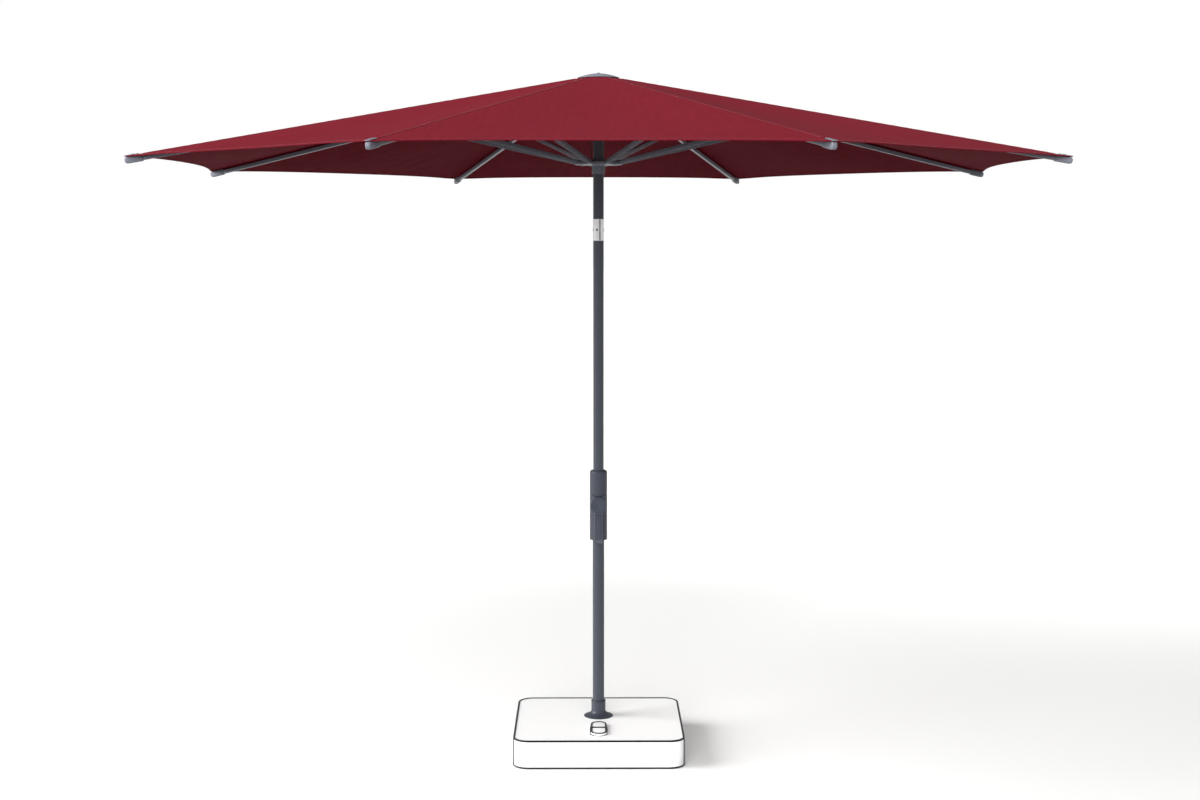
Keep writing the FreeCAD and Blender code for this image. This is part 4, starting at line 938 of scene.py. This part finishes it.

# %% [markdown]
# ## Crown cap and lift cord
# The cap is a shallow moulded dome that keeps rain out of the middle of the canopy. It has a
# rolled rim, a ring groove and a round-headed screw. The cord is a braid that runs from the crown
# down to the runner.

# %% Crown cap
def make_cap():
    """A dome h (1 - (r/R)^1.7) with a rolled rim, a groove and a screw head at its top."""
    low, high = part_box("crown_cap")
    radius, rise = high.x, 0.0152
    r = np.linspace(radius - 0.0035, 0.0, 36)
    top = low.z + 0.0030 + rise * (1 - (r / radius) ** 1.7) - 0.0009 * np.exp(-((r - 0.045) / 0.0016) ** 2)
    rim = np.linspace(-0.5 * np.pi, 0.5 * np.pi, 9)
    outer = np.column_stack([radius - 0.0016 + 0.0016 * np.cos(rim), low.z + 0.0017 + 0.0017 * np.sin(rim)])
    under = np.column_stack([r[::-1], top[::-1] - 0.0022])
    profile = np.vstack([under[:-1], outer, np.column_stack([r, top])])
    q = np.linspace(0, np.pi / 2, 8)
    peak = top[-1]
    screw = np.column_stack([0.0062 * np.cos(q), peak + 0.0030 * np.sin(q)])
    screw = np.vstack([[(0.0, peak - 0.001), (0.0062, peak - 0.001)], screw])
    piece("crown_cap_dome", spun(lathe(profile, 128), lathe(screw, 40)),
          "moulded_nylon_fittings", "crown", ["crown_cap"])


make_cap()
print("crown cap ready")

# %% Lift cord
def make_drop():
    """A round tube of points, with its UV map in metres: u along the cord and v round it."""
    low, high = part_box("lift_cord_drop")
    x, y, r = (low.x + high.x) / 2, (low.y + high.y) / 2, (high.x - low.x) / 2
    z = np.linspace(low.z, high.z, 70)[:, None]
    a = np.linspace(0, 2 * np.pi, 16, endpoint=False)[None, :]
    swell = r * (1 + 0.06 * np.cos(6 * a + z * 2 * np.pi / 0.009))
    points = np.stack([x + swell * np.cos(a), y + swell * np.sin(a), z + 0 * a], -1)
    made = piece("lift_cord_fall", capped(points), "braided_polyester_cord",
                 None, ["lift_cord_drop"])
    lay_map(made.data, lambda p: (p[:, 2], np.arctan2(p[:, 1] - y, p[:, 0] - x) * r))
    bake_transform(made)


make_drop()
print("lift cord ready")

# %% [markdown]
# ## Tilting knuckle
# Two polished castings meet side by side at the tilt pin. The frame's own castings keep their
# shape; what they lack is what holds them: a nylon friction washer that shows as a grey line
# between the cheeks, and a riveted head on each end of the pin.

# %% Knuckle washer and pin heads
tilt_low, tilt_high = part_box("tilt_pin")
TILT_HEIGHT = (tilt_low.z + tilt_high.z) / 2
MAST_RADIUS = 0.019
KNUCKLE_LAP, KNUCKLE_LOW, KNUCKLE_HIGH = 0.005, 1.846, 1.923


def make_washer(half, low, high, body):
    """Strips down the front and back of one casting, a hair proud of both cheeks."""
    front = MAST_RADIUS * math.cos(math.asin(KNUCKLE_LAP / MAST_RADIUS)) + 0.0005
    strip = pad(block(0.0046, 0.0020, 0.0008, 5), low, high, 0.0004)
    strips = [moved(strip, KNUCKLE_LAP, side * (front - 0.0006), 0) for side in (-1, 1)]
    piece(f"knuckle_washer_{half}", capped(*strips), "moulded_nylon_fittings", body)


def make_pin_heads():
    """A low dome on each end of the tilt pin, h cos q, with a small flat rim."""
    q = np.linspace(0, np.pi / 2, 8)
    heads = []
    for side in (-1, 1):
        r = np.concatenate([[0.0], [0.0068], 0.0068 * np.cos(q)])
        h = np.concatenate([[0.0172], [0.0172], 0.0180 + 0.0022 * np.sin(q)])
        heads.append(lathe(np.column_stack([r, side * h]), 40, (0, 0, TILT_HEIGHT), "X"))
    screw = np.column_stack([0.0042 * np.cos(q), -0.0182 - 0.0010 * np.sin(q)])
    front = lathe(np.vstack([(0.0, -0.0165), screw]), 32, (-0.0052, 0, TILT_HEIGHT), "Y")
    piece("knuckle_pin_heads", spun(*heads), "zinc_plated_steel", "mast")
    piece("knuckle_lock_screw", spun(front), "extruded_vinyl_bead", "mast")


make_washer("lower", KNUCKLE_LOW + 0.0012, TILT_HEIGHT - 0.0003, "mast")
make_washer("upper", TILT_HEIGHT + 0.0003, KNUCKLE_HIGH - 0.0012, "crown")
make_pin_heads()
print("knuckle at", round(TILT_HEIGHT, 4), "m")

# %% [markdown]
# ## Crank housing
# The housing is two nylon mouldings round the mast. The upper one laps over the lower in front,
# where its edge dips in a tongue towards the crank's disc, and a dark gasket shows in the joint.
# Each half is a profile carried round the mast whose joint edge is lowered by that tongue.

# %% Housing halves
body_low, body_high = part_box("housing_body")
top_low, top_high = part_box("housing_top")
HOUSING_RADIUS = body_high.x
JOINT_HEIGHT = (body_high.z + top_low.z) / 2
TONGUE = 0.0125


def around_mast(profile, turns=128):
    """A profile of (radius, height, share of the tongue) carried round the mast. At angle a from
    the front the height is lowered by the share times the tongue, cos(a)^4 in front only."""
    a = np.linspace(0, 2 * np.pi, turns, endpoint=False)
    r, h, share = np.asarray(profile, float).T
    dip = TONGUE * np.maximum(np.cos(a), 0) ** 4
    z = h[:, None] - share[:, None] * dip[None, :]
    return np.stack([np.outer(r, np.sin(a)), -np.outer(r, np.cos(a)), z], -1)


def make_housing_top():
    """The upper half: a round shoulder above, two shallow grooves, and the tongue below."""
    q = np.linspace(0, np.pi / 2, 9)
    big, crown = 0.0095, top_high.z
    edge, groove = JOINT_HEIGHT + 0.0023, crown - big
    outer = [(HOUSING_RADIUS - 0.0010, JOINT_HEIGHT + 0.0013, 1.0), (HOUSING_RADIUS, edge, 1.0)]
    outer += [(HOUSING_RADIUS, edge + step * 0.0300, 1 - step) for step in (0.25, 0.5, 0.75, 1.0)]
    outer += [(HOUSING_RADIUS - deep, groove - below, 0) for deep, below in
              ((0, 0.012), (0.0007, 0.0115), (0.0007, 0.0100), (0, 0.0095))]
    outer += [(HOUSING_RADIUS - big * (1 - math.cos(v)), groove + big * math.sin(v), 0) for v in q]
    inner = [(MAST_RADIUS + 0.0002, crown - 0.0006, 0), (MAST_RADIUS + 0.0002, crown - 0.058, 0),
             (HOUSING_RADIUS - 0.004, crown - 0.064, 0), (HOUSING_RADIUS - 0.004, JOINT_HEIGHT + 0.0013, 1.0)]
    piece("housing_upper_shell", looped(around_mast(outer + inner)),
          "moulded_nylon_housing", "mast", ["housing_top"])


def make_housing_body():
    """The lower half, with the crank's round boss in front."""
    low = body_low.z
    q = np.linspace(0, np.pi / 2, 7)
    foot = 0.0050
    outer = [(HOUSING_RADIUS - foot * math.sin(v), low + foot * (1 - math.cos(v)), 0) for v in q[::-1]]
    outer += [(HOUSING_RADIUS, JOINT_HEIGHT - 0.0023 - step * 0.0300, 1 - step)
              for step in (1.0, 0.75, 0.5, 0.25, 0.0)]
    outer += [(HOUSING_RADIUS - 0.0010, JOINT_HEIGHT - 0.0013, 1.0)]
    inner = [(HOUSING_RADIUS - 0.004, JOINT_HEIGHT - 0.0013, 1.0), (HOUSING_RADIUS - 0.004, low + 0.042, 0),
             (0.0212, low + 0.040, 0), (0.0212, low + 0.0002, 0)]
    crank_z = sum(v.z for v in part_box("crank_shaft")) / 2
    boss = moved(disc_pad(0.0210, -0.0365, -0.0240, 0.0012, 64, EDGE_ON), 0, 0, crank_z)
    piece("housing_lower_shell", looped(around_mast(outer + inner)) + capped(boss),
          "moulded_nylon_housing", "mast", ["housing_body"])


def make_gasket():
    """A dark ring in the joint, set in by half a millimetre."""
    out, back, up = HOUSING_RADIUS - 0.0005, HOUSING_RADIUS - 0.0038, 0.0014
    loop = [(out, JOINT_HEIGHT - up, 1), (out, JOINT_HEIGHT + up, 1),
            (back, JOINT_HEIGHT + up, 1), (back, JOINT_HEIGHT - up, 1)]
    piece("housing_gasket", looped(around_mast(loop)), "extruded_vinyl_bead", "mast")


make_housing_top()
make_housing_body()
make_gasket()
print("housing radius", round(HOUSING_RADIUS, 4), "joint at", round(JOINT_HEIGHT, 4))

# %% [markdown]
# ## Crank
# A cast disc on the shaft carries a channel-shaped arm, and the grip folds into the channel. The
# arm's section is one outline with a pocket, carried along the arm; the grip is a rounded bar
# with shallow finger ribs.

# %% Crank disc and arm
crank_low, crank_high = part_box("crank_arm")
shaft_low, shaft_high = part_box("crank_shaft")
CRANK_Z = (shaft_low.z + shaft_high.z) / 2
ARM_FRONT, ARM_BACK = crank_low.y, crank_high.y
DISC_RADIUS = crank_high.x
ARM_HALF = 0.0145


def make_crank():
    """The disc, chamfered at its front with a shallow ring groove, and the arm below it."""
    deep = ARM_BACK - ARM_FRONT
    r = np.array([0.0, 0.0065, 0.0072, 0.0222, 0.0226, 0.0236, 0.0240, DISC_RADIUS - 0.0013,
                  DISC_RADIUS, DISC_RADIUS, DISC_RADIUS - 0.0006, 0.0])
    y = ARM_FRONT + np.array([0.0003, 0.0003, 0.0, 0.0, 0.0005, 0.0005, 0.0, 0.0,
                              0.0013, deep - 0.0006, deep, deep])
    disc = lathe(np.column_stack([r, y]), 96, (0, 0, CRANK_Z), "Y")
    w, t = ARM_HALF, 0.0034
    channel = [(-w, ARM_BACK), (-w, ARM_FRONT), (t - w, ARM_FRONT), (t - w, ARM_FRONT + 0.0076),
               (w - t, ARM_FRONT + 0.0076), (w - t, ARM_FRONT), (w, ARM_FRONT), (w, ARM_BACK)]
    section = soften(channel, [0.0016, 0.0012, 0.0006, 0.0012, 0.0012, 0.0006, 0.0012, 0.0016])
    q = np.linspace(0, 1, 7)
    z = np.concatenate([[CRANK_Z - 0.0255, CRANK_Z - 0.05, CRANK_Z - 0.09],
                        crank_low.z + 0.014 * (1 - np.sin(q * np.pi / 2))])
    narrow = np.concatenate([[1, 1, 1], 1 - 0.34 * q ** 3])
    arm = np.stack([section[:, 0][None] * narrow[:, None], section[:, 1][None] + 0 * z[:, None],
                    z[:, None] + 0 * section[:, 0][None]], -1)
    piece("crank_arm_channel", capped(arm), "moulded_nylon_arm", "crank")
    piece("crank_disc", spun(disc), "moulded_nylon_housing", "crank", ["crank_arm"])


def make_grip():
    """A rounded bar whose front is y = front - 0.4 mm cos(2 pi z / 9 mm), with its hinge pin."""
    low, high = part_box("crank_grip")
    half = 0.0102
    z = np.linspace(low.z + 0.0012, high.z - 0.0012, 60)
    section = rounded_box(2 * half, 0.0084, 0.0028, 8)
    ends = np.clip(np.minimum(z - z[0], z[-1] - z) / 0.003, 0, 1)
    size = 0.86 + 0.14 * np.sqrt(1 - (1 - ends) ** 2)
    x = section[:, 0][None] * size[:, None]
    wave = 0.0004 * np.cos(2 * np.pi * (z - z[0]) / 0.009)[:, None] * (section[:, 1] < 0)[None]
    y = ARM_FRONT + 0.0025 + section[:, 1][None] * size[:, None] + wave
    bar = np.stack([x, y, z[:, None] + 0 * x], -1)
    pin_z = CRANK_Z - 0.1225
    pin = moved(disc_pad(0.0020, -0.0142, 0.0142, 0.0004, 20, (2, 0, 1)), 0, ARM_FRONT + 0.0035, pin_z)
    piece("crank_grip_bar", capped(bar, pin), "moulded_nylon_housing", "grip", ["crank_grip"])


make_crank()
make_grip()
print("crank at", round(CRANK_Z, 4), "m")

# %% [markdown]
# ## Rosette
# A spun aluminium trumpet covers the joint between mast and base. Its flare follows a power
# curve, which is how a spinner brings sheet down over a former, and its neck ends in a rolled lip.

# %% Rosette
def make_rosette():
    """Radius neck + (flange - neck) (1 - u)^2.6 over the flare's height, with a rolled lip."""
    low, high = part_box("rosette")
    flange, neck = high.x, 0.0260
    u = np.linspace(0, 1, 30)
    flare = np.column_stack([neck + (flange - 0.0006 - neck) * (1 - u) ** 2.6, low.z + 0.0024 + 0.0226 * u])
    q = np.linspace(-np.pi / 2, np.pi / 2, 9)
    brim = np.column_stack([flange - 0.0012 + 0.0012 * np.cos(q), low.z + 0.0012 + 0.0012 * np.sin(q)])
    lip = np.column_stack([neck - 0.0006 + 0.0016 * np.cos(q), high.z - 0.0022 + 0.0018 * np.sin(q)])
    inner = np.array([(0.0214, high.z - 0.0006), (0.0214, high.z - 0.0030), (0.0247, high.z - 0.0034),
                      (0.0247, low.z + 0.0001)])
    profile = np.vstack([brim, flare[1:], [(neck, high.z - 0.0045)], lip, inner])
    screw = moved(disc_pad(0.0032, -neck - 0.0012, -neck + 0.004, 0.0006, 24, EDGE_ON), 0, 0, low.z + 0.048)
    piece("rosette_trumpet", looped(lathe(profile, 128)) + capped(screw),
          "powder_coated_aluminium", "base", ["rosette"])


make_rosette()
print("rosette ready")

# %% [markdown]
# ## Base cover
# The cover is blow-moulded polyethylene: one shell with round corners, open below, with a hole
# for the mast and an oblong one for the pedal. Its outline is a rounded rectangle. The deck is
# made as two rings of faces, one round each hole, that share a straight line between them.

# %% Deck outlines
cover_low, cover_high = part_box("base_cover")
SLAB_WIDTH = cover_high.x - cover_low.x
SLAB_DEPTH = cover_high.y - cover_low.y
SLAB_MIDDLE = (cover_high.y + cover_low.y) / 2
SLAB_CORNER, COVER_WALL = 0.056, 0.006
REBATE_WIDTH, REBATE_DEPTH = 0.0062, 0.0036
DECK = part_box("edge_trims")[1].z
pedal_low, pedal_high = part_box("foot_pedal")
PEDAL_MIDDLE = (pedal_low.y + pedal_high.y) / 2
PEDAL_WIDTH, PEDAL_LENGTH = pedal_high.x - pedal_low.x, pedal_high.y - pedal_low.y
PEDAL_GAP, MAST_HOLE, DIVIDE = 0.0032, (0.0496, 0.0498), -0.080


def slab_outline(inset, count=40, straight=24):
    """The base's outline, with points along its straight sides too, always in the same order."""
    raw = rounded_box(SLAB_WIDTH - 2 * inset, SLAB_DEPTH - 2 * inset, SLAB_CORNER - inset, count)
    raw = raw + (0, SLAB_MIDDLE)
    ends = raw.reshape(4, count, 2)
    q = np.linspace(0, 1, straight + 2)[1:-1, None]
    sides = [np.vstack([corner, corner[-1] + (after[0] - corner[-1]) * q])
             for corner, after in zip(ends, np.roll(ends, -1, 0))]
    outline = np.vstack(sides)
    near = np.abs(outline[:, 1] - DIVIDE)
    for side in (outline[:, 0] > 0, outline[:, 0] < 0):
        outline[np.argmin(np.where(side, near, 9.0)), 1] = DIVIDE
    return outline


def hole_points(outline, centre, width, length):
    """For each point of an outline, the point of an oblong hole in the same direction from its
    centre: angles of the hole's own outline are looked up by interpolation."""
    hole = rounded_box(width, length, width / 2 * 0.999, 60)
    around, at = walk(np.vstack([hole, hole[:1]]))
    hole = at(np.linspace(0, around, 1200, endpoint=False))
    angle = np.arctan2(hole[:, 1], hole[:, 0])
    order = np.argsort(angle)
    want = np.arctan2(outline[:, 1] - centre[1], outline[:, 0] - centre[0])
    found = [np.interp(want, angle[order], hole[order, k], period=2 * np.pi) for k in (0, 1)]
    return np.stack(found, 1) + centre


def split_outline(inset, front):
    """The part of the outline in front of or behind the dividing line, closed along that line."""
    full = slab_outline(inset)
    keep = full[:, 1] <= DIVIDE + 1e-9 if front else full[:, 1] >= DIVIDE - 1e-9
    start = np.argmax(keep & ~np.roll(keep, 1))
    part = np.roll(full, -start, 0)[: keep.sum()]
    q = np.linspace(0, 1, 34)[1:-1, None]
    return np.vstack([part, part[-1] + (part[0] - part[-1]) * q])


def level(points, z):
    """Gives flat points a height."""
    return np.column_stack([points, np.full(len(points), z)])


# %% Cover
def make_cover():
    """Skirt rows down the outside and up the inside, and two ringed decks above and below."""
    shelf = DECK - REBATE_DEPTH
    rows = [(REBATE_WIDTH, DECK), (REBATE_WIDTH, shelf), (0.0004, shelf), (0.0, shelf - 0.0004),
            (0.0, DECK * 0.5), (0.0, cover_low.z + 0.0008), (0.0006, cover_low.z),
            (COVER_WALL, cover_low.z), (COVER_WALL, DECK - COVER_WALL)]
    skirt = np.stack([level(slab_outline(inset), z) for inset, z in rows])
    grids = spun(skirt)
    slot = PEDAL_WIDTH + 2 * PEDAL_GAP, PEDAL_LENGTH + 2 * PEDAL_GAP
    steps = np.linspace(0, 1, 5)[:, None, None]
    for front, centre, size in ((True, (0.0, PEDAL_MIDDLE), slot), (False, (0.0, 0.0), MAST_HOLE)):
        upper, lower = split_outline(REBATE_WIDTH, front), split_outline(COVER_WALL, front)
        rim_up, rim_low = (hole_points(o, centre, *size) for o in (upper, lower))
        upper, rim_up = level(upper, DECK), level(rim_up, DECK)
        lower, rim_low = level(lower, DECK - COVER_WALL), level(rim_low, DECK - COVER_WALL)
        deck = upper[None] * (1 - steps) + rim_up[None] * steps
        ceiling = rim_low[None] * (1 - steps) + lower[None] * steps
        grids += spun(deck, ceiling, np.stack([rim_up, rim_low]))
    return piece("cover_shell", grids, "moulded_polyethylene_cover", "base", ["base_cover"])


cover = make_cover()
print("cover:", len(cover.data.polygons), "faces")

# %% [markdown]
# ### Beads
# A black vinyl bead is pushed into the groove at the deck's edge, and another closes the foot of
# the cover. Each is a round section carried along the outline.

# %% Beads
BEAD_RADIUS = 0.0037


def bead_loop(outline, inset, z, radius, count=14):
    """A circle carried round an outline: its points move in and out with inset - r cos a."""
    a = np.linspace(0, 2 * np.pi, count, endpoint=False)
    return np.stack([level(outline(inset - radius * math.cos(v)), z + radius * math.sin(v)) for v in a])


def make_beads():
    """The upper bead stands a little proud of the edge and the lower one of the foot, and four
    upright ones cover the seams where the skirt's corners meet its sides."""
    loops = [bead_loop(slab_outline, inset, z, BEAD_RADIUS)
             for inset, z in ((0.0030, DECK - 0.0006), (0.0022, 0.0042))]
    upright = lathe([(BEAD_RADIUS, 0.0042), (BEAD_RADIUS, DECK - 0.0020)], 20)
    lean, arc = math.radians(18), SLAB_CORNER - 0.0012
    reach = SLAB_WIDTH / 2 - SLAB_CORNER + arc * math.cos(lean)
    end = SLAB_DEPTH / 2 - SLAB_CORNER + arc * math.sin(lean)
    posts = [moved(upright, x * reach, SLAB_MIDDLE + y * end, 0) for x in (-1, 1) for y in (-1, 1)]
    piece("cover_beads", looped(*loops) + capped(*posts),
          "extruded_vinyl_bead", "base", ["edge_trims"])


make_beads()
print("beads ready")

# %% [markdown]
# ### Foot pedal
# The pedal rocks in its slot to lock the mast. It is white like the cover, with a black rubber
# band round its foot and a black strip across the middle where the foot rolls over.

# %% Pedal
def pedal_outline(inset):
    """An oblong with round ends."""
    width, length = PEDAL_WIDTH - 2 * inset, PEDAL_LENGTH - 2 * inset
    return rounded_box(width, length, width / 2 * 0.999, 24) + (0, PEDAL_MIDDLE)


def make_pedal():
    """A pad with rounded rims, a lug and a finger below it, and its rubber band, rim and strip."""
    top, under = pedal_high.z, DECK + 0.001
    body = pad(pedal_outline, under, top - 0.0004, 0.0020)
    lug = pad(lambda i: rounded_box(0.036 - 2 * i, 0.016 - 2 * i, 0.002, 6),
              DECK - 0.022, under + 0.002, 0.0005)
    finger = pad(lambda i: rounded_box(0.010 - 2 * i, 0.008 - 2 * i, 0.0015, 6),
                 pedal_low.z, DECK - 0.018, 0.001)
    strip = pad(block(PEDAL_WIDTH - 0.0030, 0.0070, 0.0030, 8), top - 0.002, top + 0.0026, 0.0012)
    lug, finger, strip = (moved(part, 0, PEDAL_MIDDLE, 0) for part in (lug, finger, strip))
    piece("pedal_pad", capped(body, lug, finger), "moulded_polyethylene_cover", "pedal",
          ["foot_pedal"])
    loops = [bead_loop(pedal_outline, *ring, 12)
             for ring in ((0.0019, under + 0.0018, 0.0018), (0.0032, top - 0.0008, 0.0032))]
    piece("pedal_rubber", looped(*loops) + capped(strip), "extruded_vinyl_bead", "pedal")


make_pedal()
print("pedal ready")
